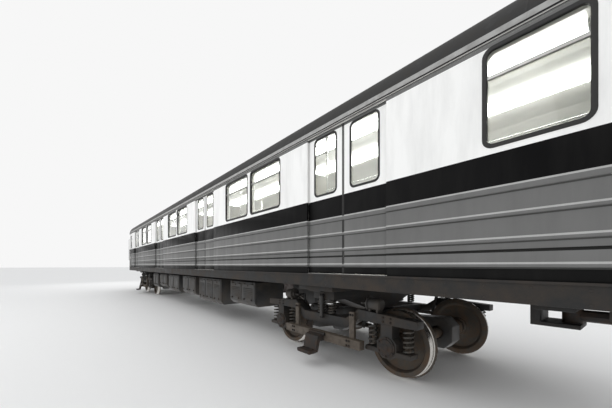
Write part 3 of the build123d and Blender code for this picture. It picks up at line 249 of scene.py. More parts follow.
def draw(name, points):
    """Draws a line of edges through points, extruding one vertex after another."""
    free()
    bpy.ops.mesh.primitive_plane_add(size=0.01, location=points[0])
    piece = bpy.context.object
    edit(piece)
    bpy.ops.mesh.merge(type="CENTER")
    for near, far in zip(points, points[1:]):
        step = Vector(far) - Vector(near)
        bpy.ops.mesh.extrude_region_move(TRANSFORM_OT_translate={"value": step})
    free()
    return place(piece, name)


def prism(name, points, run, edge=0.0, segments=2):
    """Fills an outline and extrudes it along run."""
    piece = draw(name, points)
    edit(piece)
    bpy.ops.mesh.edge_face_add()
    bpy.ops.mesh.extrude_region_move(TRANSFORM_OT_translate={"value": run})
    bpy.ops.mesh.select_all(action="SELECT")
    bpy.ops.mesh.normals_make_consistent(inside=False)
    free()
    return soften(piece, edge, segments) if edge else piece


def turn(name, points, centre, axis, steps=48):
    """Spins an outline about an axis and closes it."""
    piece = draw(name, points)
    edit(piece)
    bpy.ops.mesh.spin(steps=steps, angle=2 * math.pi, center=centre, axis=axis)
    free()
    return smooth(face_out(piece), 0.5)


def pipe(name, points, radius, bend=0.0, sides=4):
    """A round tube along a line whose corners are bent."""
    piece = draw(name, points)
    if bend:
        edit(piece)
        bpy.ops.mesh.bevel(offset=bend, segments=5, affect="VERTICES")
        free()
    take(piece)
    bpy.ops.object.convert(target="CURVE")
    piece = bpy.context.object
    piece.data.bevel_depth = radius
    piece.data.bevel_resolution = sides
    piece.data.use_fill_caps = True
    bpy.ops.object.convert(target="MESH")
    piece = bpy.context.object
    piece.name = name
    return smooth(piece)


def copy_of(piece, name, step=(0, 0, 0), flip=None):
    """A copy with its own mesh, moved by step or mirrored across one plane of the frame."""
    copy = piece.copy()
    copy.data = piece.data.copy()
    bpy.context.scene.collection.objects.link(copy)
    if flip is not None:
        scale = [1, 1, 1]
        scale[flip] = -1
        copy.data.transform(Matrix.Diagonal((*scale, 1)))
        copy.data.flip_normals()
    copy.data.transform(Matrix.Translation(step))
    copy.name = name
    copy.data.name = name
    return copy


def turn_about(piece, degrees, axis, spot=(0, 0, 0)):
    """Turns a piece about an axis through the origin, and moves it to a spot."""
    turned_to = Matrix.Rotation(math.radians(degrees), 4, axis)
    piece.data.transform(Matrix.Translation(spot) @ turned_to)


def put(piece, spot, out=(0, 0, 1)):
    """A copy of a model that stands on the origin along Z, moved to a spot and turned to face out."""
    copy = copy_of(piece, piece.name)
    turned_to = Vector(out).to_track_quat("Z", "Y").to_matrix().to_4x4()
    copy.data.transform(Matrix.Translation(spot) @ turned_to)
    return copy


def put_ring(piece, centre, out, radius, count):
    """Copies of a model in a ring about a centre, all facing out."""
    turned_to = Vector(out).to_track_quat("Z", "Y")
    copies = []
    for i in range(count):
        angle = 2 * math.pi * (i + 0.5) / count
        step = turned_to @ Vector((radius * math.cos(angle), radius * math.sin(angle), 0))
        copies.append(put(piece, Vector(centre) + step, out))
    return copies


def turned(name, profile, steps=32):
    """A model turned about Z from an outline of radii and heights."""
    return turn(name, [(radius, 0, height) for radius, height in profile], (0, 0, 0), (0, 0, 1), steps)


def rod_up(name, vertices, radius, low, high):
    """A flat-sided bar along Z, between two heights."""
    free()
    spot = (0, 0, (low + high) / 2)
    bpy.ops.mesh.primitive_cylinder_add(vertices=vertices, radius=radius, depth=high - low, location=spot)
    return place(bpy.context.object, name)


def hex_head(radius, height):
    """A bolt head on its washer, standing on the origin along Z."""
    free()
    washer = 0.003
    head = rod_up("head", 6, radius, washer, washer + height)
    soften(head, 0.12 * radius, 1)
    return join("bolt", [head, rod_up("washer", 12, 1.4 * radius, 0, washer)])


def drop(*pieces):
    """Deletes models that have been copied to their places."""
    take(*pieces)
    bpy.ops.object.delete()


def join(name, pieces):
    """Makes one piece of several."""
    take(*pieces)
    if len(pieces) > 1:
        bpy.ops.object.join()
    piece = bpy.context.object
    piece.name = name
    piece.data.name = name
    return piece


def from_node(node, name):
    """A merged copy of a CAD node's mesh, to be shaped as a piece of its own."""
    free()
    piece = copy_of(frame["nodes"][node], name)
    piece.parent = None
    piece.hide_viewport = False
    piece.hide_render = False
    piece.hide_set(False)
    for key in list(piece.keys()):
        del piece[key]
    piece.name = name
    piece.data.name = name
    edit(piece)
    bpy.ops.mesh.remove_doubles(threshold=0.00002)
    bpy.ops.mesh.tris_convert_to_quads(face_threshold=0.01, shape_threshold=3.1)
    bpy.ops.mesh.customdata_custom_splitnormals_clear()
    free()
    return piece


def loose_parts(piece):
    """The separate solids of a piece, from the largest to the smallest."""
    edit(piece)
    bpy.ops.mesh.separate(type="LOOSE")
    free()
    stem = piece.name
    parts = [o for o in bpy.context.scene.objects if o.name == stem or o.name.startswith(stem + ".")]
    return sorted(parts, key=lambda o: -o.dimensions.length)


def solids_of(node):
    """The lowest and highest corners of each solid in a CAD node."""
    parts = loose_parts(from_node(node, "solid"))
    boxes = []
    for part in parts:
        points = [v.co for v in part.data.vertices]
        boxes.append([Vector([pick(p[i] for p in points) for i in range(3)]) for pick in (min, max)])
    drop(*parts)
    return sorted(boxes, key=lambda box: (round(box[0].y, 3), box[0].x))


def finish_piece(piece, finish, slot, *nodes, body="car_body"):
    """Gives a piece its finish and body, and hides the CAD nodes that it stands for. Its slot is not used.
    """
    if finish:
        piece.data.materials.clear()
        piece.data.materials.append(finishes[finish])
    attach(piece, body)
    if nodes:
        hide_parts(*nodes)
    return piece


def fit(name, pieces, finish, slot, *nodes, body="car_body"):
    """Joins pieces into one and finishes it."""
    return finish_piece(join(name, pieces), finish, slot, *nodes, body=body)


# Finishes


def add_node(tree, kind, inputs=None, **settings):
    """Adds a node with its settings. An input's value is a number, a colour or another node's socket."""
    node = tree.nodes.new(kind)
    for key, value in settings.items():
        setattr(node, key, value)
    for key, value in (inputs or {}).items():
        if isinstance(value, bpy.types.NodeSocket):
            tree.links.new(value, node.inputs[key])
        else:
            node.inputs[key].default_value = value
    return node


def rgba(colour):
    return (*colour[:3], 1.0)


def shader(name, colour, roughness, metallic=0.0, **sockets):
    """A new material with one Principled shader, its tree, and the object's coordinates."""
    material = bpy.data.materials.new(name)
    material.use_nodes = True
    tree = material.node_tree
    principled = tree.nodes["Principled BSDF"]
    sockets.update(Base_Color=rgba(colour), Roughness=roughness, Metallic=metallic)
    for key, value in sockets.items():
        principled.inputs[key.replace("_", " ")].default_value = value
    place_of = add_node(tree, "ShaderNodeTexCoord").outputs["Object"]
    return material, tree, principled, place_of


def noise(tree, place_of, scale, detail, roughness=0.5):
    inputs = {"Vector": place_of, "Scale": scale, "Detail": detail, "Roughness": roughness}
    return add_node(tree, "ShaderNodeTexNoise", inputs).outputs["Fac"]


def map_range(tree, value, start, end, **settings):
    """Maps a value from one span of numbers to another."""
    names = ("From Min", "From Max", "To Min", "To Max")
    inputs = {"Value": value, **dict(zip(names, (*start, *end)))}
    return add_node(tree, "ShaderNodeMapRange", inputs, **settings).outputs["Result"]


def blend(tree, share, first, second):
    """Mixes two colours."""
    return add_node(tree, "ShaderNodeMix", {0: share, 6: first, 7: second}, data_type="RGBA").outputs[2]


def maths(tree, operation, first, second):
    return add_node(tree, "ShaderNodeMath", {0: first, 1: second}, operation=operation).outputs[0]


def raise_by(tree, principled, height, strength, depth, under=None):
    """Gives a shader a bump, on top of another one if there is one, and returns its normal."""
    inputs = {"Height": height, "Strength": strength, "Distance": depth}
    if under:
        inputs["Normal"] = under
    normal = add_node(tree, "ShaderNodeBump", inputs).outputs["Normal"]
    tree.links.new(normal, principled.inputs["Normal"])
    return normal


def weather(tree, principled, place_of, colour, dirt, grain, share, rough, bump):
    """Mottles a colour with dirt, varies its roughness and gives it a fine bump.

    grain is the size of a blot in metres, share how much dirt lies on it, rough the lowest and
    highest roughness, and bump the scale, strength and depth of the relief.
    """
    blot = noise(tree, place_of, 1 / grain, 6.0, 0.62)
    clean = colour if isinstance(colour, bpy.types.NodeSocket) else rgba(colour)
    soiled = blend(tree, map_range(tree, blot, (0.42, 0.72), (0.0, share)), clean, rgba(dirt))
    tree.links.new(soiled, principled.inputs["Base Color"])
    tree.links.new(map_range(tree, blot, (0.3, 0.7), rough), principled.inputs["Roughness"])
    scale, strength, depth = bump
    fine = noise(tree, place_of, scale, 3.0, 0.5)
    return raise_by(tree, principled, fine, strength, depth)


def height_bands(tree, place_of, ground, bands):
    """A colour that changes with height, as (lowest height, highest height, colour)."""
    z = add_node(tree, "ShaderNodeSeparateXYZ", {"Vector": place_of}).outputs["Z"]
    last = rgba(ground)
    for low, high, colour in bands:
        over, under = maths(tree, "GREATER_THAN", z, low), maths(tree, "LESS_THAN", z, high)
        last = blend(tree, maths(tree, "MULTIPLY", over, under), last, rgba(colour))
    return last


def plain_finishes(paints):
    """The finishes that are one weathered colour, in pairs: the key, the material's name, its colour,
    roughness, metallic and dirt, and then what weather() takes from the grain on."""
    rows = (
        # Bitumen paint on rolled steel under the floor, brown with brake dust
        ("frame", "bitumen_painted_steel", paints.frame, 0.62, 0.0, "#4b4036"),
        (0.25, 0.6, (0.5, 0.85), (90, 0.3, 0.004)),
        # The same paint on the equipment boxes, a little lighter
        ("equipment", "painted_sheet_steel", linear("#2b2b2b"), 0.5, 0.0, "#544a3f"),
        (0.3, 0.5, (0.4, 0.75), (70, 0.2, 0.003)),
        # Tyre treads and shoes, ground bright by the rail
        ("tread", "ground_rail_steel", linear("#b8b6b2"), 0.24, 1.0, "#6b5b4c"),
        (0.05, 0.3, (0.18, 0.4), (300, 0.1, 0.0006)),
        # Rolled wheel discs and axles, brown and dusty
        ("disc", "rolled_steel_disc", linear("#45403a"), 0.6, 0.5, "#6a5440"),
        (0.12, 0.7, (0.5, 0.85), (120, 0.3, 0.002)),
        # Sand-cast iron: a coarse skin under a little rust
        ("cast", "sand_cast_iron", linear("#2c2a29"), 0.6, 0.6, "#5a4433"),
        (0.08, 0.5, (0.45, 0.8), (220, 0.5, 0.002)),
        # Coiled spring steel under satin paint
        ("spring", "painted_spring_steel", linear("#33322f"), 0.45, 0.2, "#5d4f42"),
        (0.06, 0.5, (0.35, 0.7), (200, 0.2, 0.001)),
        # Pressed laminate of the collectors' beams, oiled and dusty
        ("insulator", "pressed_laminate", linear("#4f463c"), 0.6, 0.0, "#2a2622"),
        (0.08, 0.6, (0.5, 0.8), (150, 0.25, 0.001)),
        # Glazed porcelain of the resistors' spacers and the gauges' faces: white and slightly uneven
        ("porcelain", "glazed_porcelain", linear("#dcdad2"), 0.2, 0.0, "#a39c90"),
        (0.03, 0.4, (0.15, 0.3), (150, 0.05, 0.0004)),
        # Resistor strips, blued and browned by heat
        ("resistor", "heat_stained_steel", linear("#5a5654"), 0.45, 0.8, "#4a3b3c"),
        (0.1, 0.8, (0.35, 0.65), (180, 0.2, 0.001)),
        # Pressed rubber floor covering with a fine speckle
        ("floor", "pressed_rubber_sheet", paints.floor, 0.6, 0.0, "#7a766f"),
        (0.004, 0.5, (0.5, 0.7), (400, 0.15, 0.0008)),
        # Decorative laminate: a smooth, slightly uneven satin
        ("lining", "satin_laminate", paints.lining, 0.35, 0.0, "#cfcdc6"),
        (0.6, 0.35, (0.3, 0.42), (25, 0.03, 0.001)),
        # Enamelled sheet of the seat bases: flat and half glossy
        ("base", "enamelled_sheet", linear("#9b9890"), 0.4, 0.0, "#77736b"),
        (0.3, 0.4, (0.35, 0.55), (60, 0.05, 0.001)),
        # Hammered paint of the cab's fittings, with fine dimples
        ("cab", "hammered_cab_paint", linear("#565956"), 0.4, 0.0, "#3e403e"),
        (0.15, 0.4, (0.35, 0.55), (260, 0.3, 0.0008)),
        # Drawn stainless tube, polished by hands
        ("tube", "drawn_stainless_tube", linear("#c9c9c8"), 0.2, 1.0, "#9b9b9a"),
        (0.08, 0.4, (0.14, 0.3), (500, 0.05, 0.0004)),
        # Anodised aluminium sections: a satin metal with faint drawing lines
        ("alloy", "anodised_aluminium", linear("#b5b5b3"), 0.34, 1.0, "#8d8c89"),
        (0.1, 0.4, (0.28, 0.45), (350, 0.08, 0.0004)),
        # Moulded rubber of gaskets and door edges: dull, greyed by dust
        ("rubber", "moulded_black_rubber", linear("#141414"), 0.55, 0.0, "#34322f"),
        (0.1, 0.5, (0.45, 0.7), (300, 0.15, 0.0006)),
    )
    return zip(rows[::2], rows[1::2])


def make_finishes(paints):
    """Every finish of the car, by name."""
    made = {}

    # Sprayed enamel on pressed steel: a fair gloss, dulled and streaked by washing plants. On the
    # ribbed panels a painted highlight runs along each rib's upper edge, and painted shadow lies below each
    # rib and in the groove
    livery = [
        (0.0, 1.325, paints.frame),
        (1.949, 2.198, paints.band),
        (2.198, 3.02, paints.light),
        (3.155, 9.0, paints.roof),
    ]
    # Painted shade in the groove, and on each rib a painted highlight along its upper edge and painted
    # shadow under it
    painted_rib_light = [(RIB_GROOVE_Z - 0.011, RIB_GROOVE_Z + 0.011, linear("#2a2a29"))]
    for z, height in RIBS:
        painted_rib_light.append((z + height / 2 - 0.012, z + height / 2 + 0.003, linear("#b4b4b2")))
        painted_rib_light.append((z - height / 2 - 0.01, z - height / 2, linear("#4c4c4b")))
    for key, name, lines in (
        ("side", "sprayed_enamel_steel", []),
        ("ribbed", "brush_worn_enamel_steel", painted_rib_light),
    ):
        made[key], tree, principled, at = shader(name, paints.side, 0.5, Specular_IOR_Level=0.08)
        bands = height_bands(tree, at, paints.side, livery + lines)
        stretch = {"Vector": at, "Scale": (3.0, 3.0, 0.5)}
        streak = add_node(tree, "ShaderNodeMapping", stretch).outputs["Vector"]
        dirt = linear("#3a3937")
        weather(tree, principled, streak, bands, dirt, 0.5, 0.14, (0.35, 0.55), (40, 0.05, 0.002))

    # Matt roof paint with brake dust lying on it, and a painted highlight along its shoulder
    dull = {"Specular_IOR_Level": 0.35}
    made["roof"], tree, principled, at = shader("matt_roof_paint", paints.roof, 0.7, **dull)
    # Up the shoulder: the side's enamel, a dark band on the gutter, and from 3.09 to 3.155 m a pale strip
    # that is a painted highlight
    gutter_and_painted_highlight = [(0.0, 3.062, paints.side), (3.062, 3.09, paints.band), (3.09, 3.155, linear("#a9a9a7"))]
    bands = height_bands(tree, at, paints.roof, gutter_and_painted_highlight)
    dirt = linear("#4a4742")
    relief = weather(tree, principled, at, bands, dirt, 0.12, 0.4, (0.55, 0.85), (60, 0.15, 0.003))
    # Weld seams across the roof, one every 2.9 m, drawn 24 mm wide
    x = add_node(tree, "ShaderNodeSeparateXYZ", {"Vector": at}).outputs["X"]
    wave = maths(tree, "PINGPONG", x, 1.45)
    seam = map_range(tree, wave, (0.0, 0.012), (1.0, 0.0), interpolation_type="SMOOTHSTEP")
    raise_by(tree, principled, seam, 0.9, 0.004, relief)

    for (key, name, colour, roughness, metallic, dirt), weathering in plain_finishes(paints):
        made[key], tree, principled, at = shader(name, colour, roughness, metallic)
        weather(tree, principled, at, colour, linear(dirt), *weathering)
    made["lining"].node_tree.nodes["Principled BSDF"].inputs["Coat Weight"].default_value = 0.2

    # Leatherette: pebbled vinyl with a soft sheen
    sheen = {"Sheen_Weight": 0.1}
    made["seats"], tree, principled, at = shader("grained_leatherette", paints.seats, 0.45, **sheen)
    dirt = linear("#2e231d")
    relief = weather(tree, principled, at, paints.seats, dirt, 0.12, 0.5, (0.36, 0.55), (90, 0.1, 0.001))
    cells = {"feature": "SMOOTH_F1", "voronoi_dimensions": "3D"}
    pebble = add_node(tree, "ShaderNodeTexVoronoi", {"Vector": at, "Scale": 280.0}, **cells)
    raise_by(tree, principled, pebble.outputs["Distance"], 0.25, 0.0015, relief)

    # Toughened window glass: clear, with a faint grey edge and a film of dust
    clear = {"Transmission_Weight": 1.0, "IOR": 1.5}
    made["glass"], tree, principled, at = shader("toughened_glass", linear("#e9eeee"), 0.03, **clear)
    haze = map_range(tree, noise(tree, at, 3.0, 4.0), (0.0, 1.0), (0.01, 0.07))
    tree.links.new(haze, principled.inputs["Roughness"])

    # Fluted lamp glass in the nose
    clear["IOR"] = 1.45
    made["lamp"], tree, principled, at = shader("pressed_lamp_glass", linear("#ffffff"), 0.02, **clear)
    flutes = add_node(tree, "ShaderNodeTexWave", {"Vector": at, "Scale": 32.0}, bands_direction="Y")
    raise_by(tree, principled, flutes.outputs["Fac"], 0.5, 0.002)

    # Opal diffusers of the saloon's lamps, lit
    power = {"Emission_Strength": bpy.context.scene.metro_sizes.lamp_power}
    power["Emission_Color"] = rgba(linear("#fffdf6"))
    made["opal"], tree, principled, at = shader("opal_acrylic_diffuser", linear("#f6f5f0"), 0.3, **power)
    raise_by(tree, principled, noise(tree, at, 60.0, 2.0), 0.1, 0.001)
    return made


# The stems of the CAD nodes' names that each finish is for, the first that fits
NODE_STEMS = {
    "frame": ("underframe", "bogie_frame"),
    "ribbed": ("side_wall", "door_"),
    "side": ("cab_front", "rear_end", "cab_door", "front_door", "rear_door"),
    "roof": ("roof",),
    "opal": ("ceiling_lamps",),
    "lining": ("ceiling", "cab_partition"),
    "floor": ("floor",),
    "glass": ("window_glass",),
    "base": ("seat_frames",),
    "seats": ("seat_cushions", "driver_seat"),
    "tube": ("grab_rails",),
    "cab": ("driver_desk",),
    "lamp": ("front_lamps",),
    "equipment": ("equipment_boxes", "air_reservoirs", "traction_motors"),
    "resistor": ("resistor_bank",),
    "cast": ("coupler", "brake_gear"),
    "spring": ("bogie_springs",),
    "insulator": ("current_collectors",),
    "disc": ("wheelset",),
}
finishes = {}


class METRO_OT_finishes(bpy.types.Operator):
    """Makes the finishes and gives each CAD node its own"""

    bl_idname = "metro.finishes"
    bl_label = "Finishes"

    def execute(self, context):
        finishes.update(make_finishes(context.scene.metro_paints))
        for name, node in frame["nodes"].items():
            key = next(finish for finish, stems in NODE_STEMS.items() if name.startswith(stems))
            node.data.materials.clear()
            node.data.materials.append(finishes[key])
        return {"FINISHED"}


def smooth_copy(node, finish, slot, edge, segments=2, body="car_body"):
    """A merged copy of a CAD node with rounded edges and smooth curves, which replaces the node."""
    piece = soften(from_node(node, node + "_shell"), edge, segments)
    return finish_piece(smooth(piece, 0.5), finish, slot, node, body=body)


def line_inside(piece, inside):
    """Lines the faces that look into the car with the saloon's laminate."""
    piece.data.materials.append(finishes["lining"])
    for face in piece.data.polygons:
        if inside(face.center, face.normal):
            face.material_index = 1


def looks_in(side):
    """A test for the faces of a side wall or leaf that look into the car."""
    return lambda centre, normal: normal.y * side < -0.3 or (abs(normal.y) < 0.7 and abs(centre.y) < 1.302)


class METRO_OT_shell(bpy.types.Operator):
    """Rounds the edges of the body shell's panels, the roof, the nose and the rear end, and lines them"""

    bl_idname = "metro.shell"
    bl_label = "Body shell"

    def execute(self, context):
        edge = context.scene.metro_sizes.edge
        for node, side in (("side_wall_left", 1), ("side_wall_right", -1)):
            line_inside(smooth_copy(node, "ribbed", "body_paint", edge), looks_in(side))
        nose = smooth_copy("cab_front", "side", "body_paint", edge)
        middle = Vector((8.6, 0, 2.3))
        line_inside(nose, lambda centre, normal: (centre - middle).dot(normal) < 0 and centre.z > 1.26)
        rear = smooth_copy("rear_end", "side", "body_paint", edge)
        line_inside(rear, lambda centre, normal: normal.x > 0.3)
        roof = smooth_copy("roof", "roof", "roof_paint", edge)
        line_inside(roof, lambda centre, normal: centre.y * normal.y + (centre.z - 2.3) * normal.z < 0)
        smooth_copy("roof_vents", "roof", "roof_paint", edge)
        # Louvre blades in the upright outer face of each roof vent
        outline = ((0.004, 0.006), (-0.022, 0.036), (-0.03, 0.034), (-0.006, 0.003))
        blade = prism("blade", [(-0.003, y, z) for y, z in outline], (0.006, 0, 0))
        rim, count = 0.04, 22
        blades = []
        for low, high in solids_of("roof_vents"):
            foot_y = math.copysign(max(abs(low.y), abs(high.y)), low.y)
            pitch = (high.x - low.x - 2 * rim) / (count - 1)
            for i in range(count):
                step = (low.x + rim + i * pitch, foot_y, low.z)
                blades.append(copy_of(blade, "blade", step, flip=1 if low.y < 0 else None))
        drop(blade)
        fit("roof_vent_louvres", blades, "roof", "roof_paint")
        return {"FINISHED"}


def ring(name, width, height, lip, reach, corner, depth):
    """A rubber ring in the XZ plane about the origin: it covers the opening's edge by lip, reaches
    over the pane by reach, and stands from y = 0 inwards to -depth, its front rounded."""
    free()
    bpy.ops.mesh.primitive_plane_add(size=1, rotation=(math.radians(90), 0, 0))
    piece = bpy.context.object
    piece.scale = (width + 2 * lip, height + 2 * lip, 1)
    place(piece, name)
    edit(piece)
    bpy.ops.mesh.bevel(offset=corner + lip, segments=6, affect="VERTICES")
    bpy.ops.mesh.select_all(action="SELECT")
    bpy.ops.mesh.inset(thickness=lip + reach)
    bpy.ops.mesh.delete(type="FACE")
    bpy.ops.mesh.select_all(action="SELECT")
    bpy.ops.mesh.extrude_region_move(TRANSFORM_OT_translate={"value": (0, -depth, 0)})
    free()
    face_out(piece)
    soften(piece, 0.004, 3)
    return smooth(piece)


class METRO_OT_windows(bpy.types.Operator):
    """Fits the rubber gaskets and the vent bars of the fixed windows"""

    bl_idname = "metro.windows"
    bl_label = "Window gaskets"

    def execute(self, context):
        lip, proud = 0.012, 0.004
        middle_z, height = (SILL_Z + HEAD_Z) / 2, HEAD_Z - SILL_Z
        # What every gasket has after its width: height, lip, reach, corner radius and depth
        section = (height, lip, context.scene.metro_sizes.gasket - lip, 0.066, 0.028)
        places = [(x + s * WINDOW_STEP, WINDOW_W) for x in BAY_XS for s in (1, -1)]
        places.append((TAIL_WINDOW_X, TAIL_WINDOW_W))
        gaskets, bars = [], []
        for x, opening in places:
            one = ring("gasket", opening, *section)
            gaskets.append(copy_of(one, "gasket", (x, SIDE_Y + proud, middle_z)))
            reach = opening / 2 - 0.01
            low = (x - reach, GLASS_Y - 0.004, HEAD_Z - 0.235)
            bars.append(block("bar", low, (x + reach, SIDE_Y - 0.008, HEAD_Z - 0.205), 0.003))
            drop(one)
        end_ring = ring("gasket_end", END_WINDOW_W, *section)
        turn_about(end_ring, -90, "Z")
        rings = [copy_of(end_ring, "gasket", (END_X + proud, s * END_WINDOW_Y, middle_z)) for s in (1, -1)]
        drop(end_ring)
        # Each set is mirrored to the other side or the other end
        for name, mirrored, pieces, plane, finish, slot in (
            ("window_gaskets_left", "window_gaskets_right", gaskets, 1, "rubber", "body_paint"),
            ("vent_bars_left", "vent_bars_right", bars, 1, "alloy", "rail_steel"),
            ("windscreen_gaskets", "rear_window_gaskets", rings, 0, "rubber", "body_paint"),
        ):
            piece = join(name, pieces)
            for one in (piece, copy_of(piece, mirrored, flip=plane)):
                finish_piece(one, finish, slot)
        return {"FINISHED"}


class METRO_OT_doors(bpy.types.Operator):
    """Gives every door its rounded panel, its pane and its gasket, and each sliding leaf its rubber edge"""

    bl_idname = "metro.doors"
    bl_label = "Doors"

    def execute(self, context):
        one = ring("leaf_ring", LEAF_WINDOW_W, HEAD_Z - SILL_Z, 0.01, 0.018, 0.062, 0.011)
        for node in [n for n in frame["nodes"] if n.startswith("door_")]:
            low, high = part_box(node)
            side = 1 if high.y > 0 else -1
            parts = loose_parts(from_node(node, node + "_panel"))
            panel, pane = parts[0], parts[-1]
            soften(panel, 0.002)
            smooth(panel, 0.5)
            panel.name = node + "_panel"
            pane.name = node + "_pane"
            finish_piece(panel, "ribbed", "door_paint", node, body=node)
            line_inside(panel, looks_in(side))
            finish_piece(pane, "glass", "glass", body=node)
            # The rubber along the edge where two leaves meet
            edge, inner = (high.x, high.x - 0.018) if node.endswith("rear") else (low.x, low.x + 0.018)
            low, high = (edge, side * 1.2805, 1.25), (inner, side * 1.3145, 3.044)
            rubber = block(node + "_edge", low, high, 0.006, 3)
            finish_piece(rubber, "rubber", "door_paint", body=node)
            pane_xs = [v.co.x for v in pane.data.vertices]
            spot = ((min(pane_xs) + max(pane_xs)) / 2, side * (LEAF_Y + 0.003), (SILL_Z + HEAD_Z) / 2)
            gasket = copy_of(one, node + "_gasket", spot, flip=1 if side < 0 else None)
            finish_piece(gasket, "rubber", "door_paint", body=node)
        drop(one)
        for node in ("cab_door_left", "cab_door_right", "front_door", "rear_door"):
            parts = loose_parts(from_node(node, node + "_panel"))
            panel = parts[0]
            pane = min(parts[1:], key=lambda o: min(o.dimensions))
            knuckles = [p for p in parts[1:] if p is not pane]
            soften(panel, 0.003)
            panel = smooth(join(node + "_panel", [panel] + knuckles), 0.5)
            pane.name = node + "_pane"
            finish_piece(panel, "side", "door_paint", node, body=node)
            finish_piece(pane, "glass", "glass", body=node)
        self.fit_hinged()
        return {"FINISHED"}

    def fit_hinged(self):
        """Gives the hinged doors their gaskets, handles and linings."""
        rose = turned("rose", ((0, 0.01), (0.022, 0.01), (0.028, 0.006), (0.03, 0), (0, 0)), 28)
        height = 0.653
        proud, thick = 0.003, 0.04
        cab_x, cab_face, z = 8.61, 1.34, SILL_Z + height / 2
        for node, width, middle, out in (
            ("cab_door_left", 0.38, (cab_x, cab_face, z), (0, 1, 0)),
            ("cab_door_right", 0.38, (cab_x, -cab_face, z), (0, -1, 0)),
            ("front_door", 0.42, (END_X, 0, z), (1, 0, 0)),
            ("rear_door", 0.42, (-END_X, 0, z), (-1, 0, 0)),
        ):
            out, middle = Vector(out), Vector(middle)
            outer = ring("ring", width, height, 0.01, 0.018, 0.05, 0.014)
            inner = copy_of(outer, "ring")
            facing = math.degrees(math.atan2(out.y, out.x)) - 90
            turn_about(outer, facing, "Z", middle + proud * out)
            turn_about(inner, facing + 180, "Z", middle - (thick + proud) * out)
            fit(node + "_gaskets", [outer, inner], "rubber", "door_paint", body=node)
            # The lever is on the side away from the hinges
            along, reach = (Vector((1, 0, 0)), 0.195) if out.y else (Vector((0, -1, 0)), 0.225)
            spot = middle + reach * along
            spot.z = 2.06
            handle = []
            for face, way in ((spot, out), (spot - thick * out, -out)):
                handle.append(put(rose, face, way))
                knee = face + 0.045 * way
                points = [face, knee, knee - 0.11 * along]
                handle.append(pipe("lever", [tuple(p) for p in points], 0.008, 0.016))
            fit(node + "_handles", handle, "alloy", "rail_steel", body=node)
            panel = bpy.data.objects[node + "_panel"]
            line_inside(panel, lambda centre, normal, out=out: normal.dot(out) < -0.3)
        drop(rose)


# Half a wheelset, as radii and distances from the middle, from the axle's middle to its end
WHEEL_OUTLINE = (
    (0.075, 0.0), (0.075, 0.62), (0.105, 0.655), (0.105, 0.722), (0.125, 0.735),
    (0.13, 0.752), (0.2, 0.765), (0.31, 0.752), (0.33, 0.73), (0.345, 0.7205),
    (0.4, 0.7205), (0.414, 0.726), (0.4175, 0.735), (0.412, 0.744), (0.398, 0.75),
    (0.3898, 0.7545), (0.3885, 0.84), (0.384, 0.8495), (0.335, 0.8495), (0.325, 0.838),
    (0.31, 0.8), (0.2, 0.79), (0.13, 0.8), (0.118, 0.83), (0.105, 0.845),
    (0.062, 0.845), (0.062, 1.06), (0.0, 1.0645),
)


class METRO_OT_wheelsets(bpy.types.Operator):
    """Turns each wheelset with dished wheels and ground treads"""

    bl_idname = "metro.wheelsets"
    bl_label = "Wheelsets"

    def execute(self, context):
        outline = [(0, y, AXLE_Z + r) for r, y in WHEEL_OUTLINE]
        half = turn("half", outline, (0, 0, AXLE_Z), (0, 1, 0), 64)
        other = copy_of(half, "other", flip=1)
        whole = face_out(join("whole", [half, other]))
        smooth(whole, 0.5)
        whole.data.materials.clear()
        whole.data.materials.append(finishes["disc"])
        whole.data.materials.append(finishes["tread"])
        for face in whole.data.polygons:
            middle = face.center
            radius = math.hypot(middle.x, middle.z - AXLE_Z)
            face.material_index = int(0.386 < radius < 0.4 and abs(middle.y) > 0.75)
        for number, x in enumerate(AXLE_XS, 1):
            node = f"wheelset_{number}"
            finish_piece(copy_of(whole, node + "_turned", (x, 0, 0)), None, "wheel_steel", node, body=node)
        drop(whole)
        return {"FINISHED"}


def coil(height, wire, turns, radius=0.06):
    """A coil spring that stands on the origin, its two ends closed."""
    free()
    bpy.ops.mesh.primitive_circle_add(
        vertices=10, radius=wire, location=(radius - wire, 0, wire), rotation=(math.radians(90), 0, 0)
    )
    piece = place(bpy.context.object, "coil")
    rise = (height - 2 * wire) / turns
    steps = {"steps": 18, "render_steps": 18, "iterations": turns}
    modify(piece, "SCREW", axis="Z", angle=2 * math.pi, screw_offset=rise, use_merge_vertices=True, **steps)
    edit(piece, "DESELECT")
    bpy.ops.mesh.select_mode(type="EDGE")
    bpy.ops.mesh.select_non_manifold()
    bpy.ops.mesh.edge_face_add()
    free()
    return smooth(face_out(piece), 1.0)


class METRO_OT_springs(bpy.types.Operator):
    """Winds the coil springs of the axle boxes and the crossheads"""

    bl_idname = "metro.springs"
    bl_label = "Springs"

    def execute(self, context):
        turns = context.scene.metro_sizes.coil_turns
        low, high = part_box("bogie_springs_front")
        # The axle boxes' springs reach up to the beam, the crossheads' stand on their planks
        foot, beam_z, plank_z = low.z, 0.6677, 0.6583
        axle_coil = coil(beam_z - foot, 0.012, turns)
        cross_coil = coil(high.z - plank_z, 0.013, turns)
        steps = [(axle_coil, s * AXLE_STEP + step, foot) for s in (1, -1) for step in (0.235, -0.235)]
        steps += [(cross_coil, step, plank_z) for step in (0.11, -0.11)]
        for end, pivot in PIVOTS.items():
            coils = []
            for model, step, z in steps:
                coils += [copy_of(model, "coil", (pivot + step, side * BEAM_Y, z)) for side in (1, -1)]
            node = "bogie_springs_" + end
            fit(node + "_coils", coils, "spring", "spring_steel", node, body="bogie_" + end)
        drop(axle_coil, cross_coil)
        return {"FINISHED"}


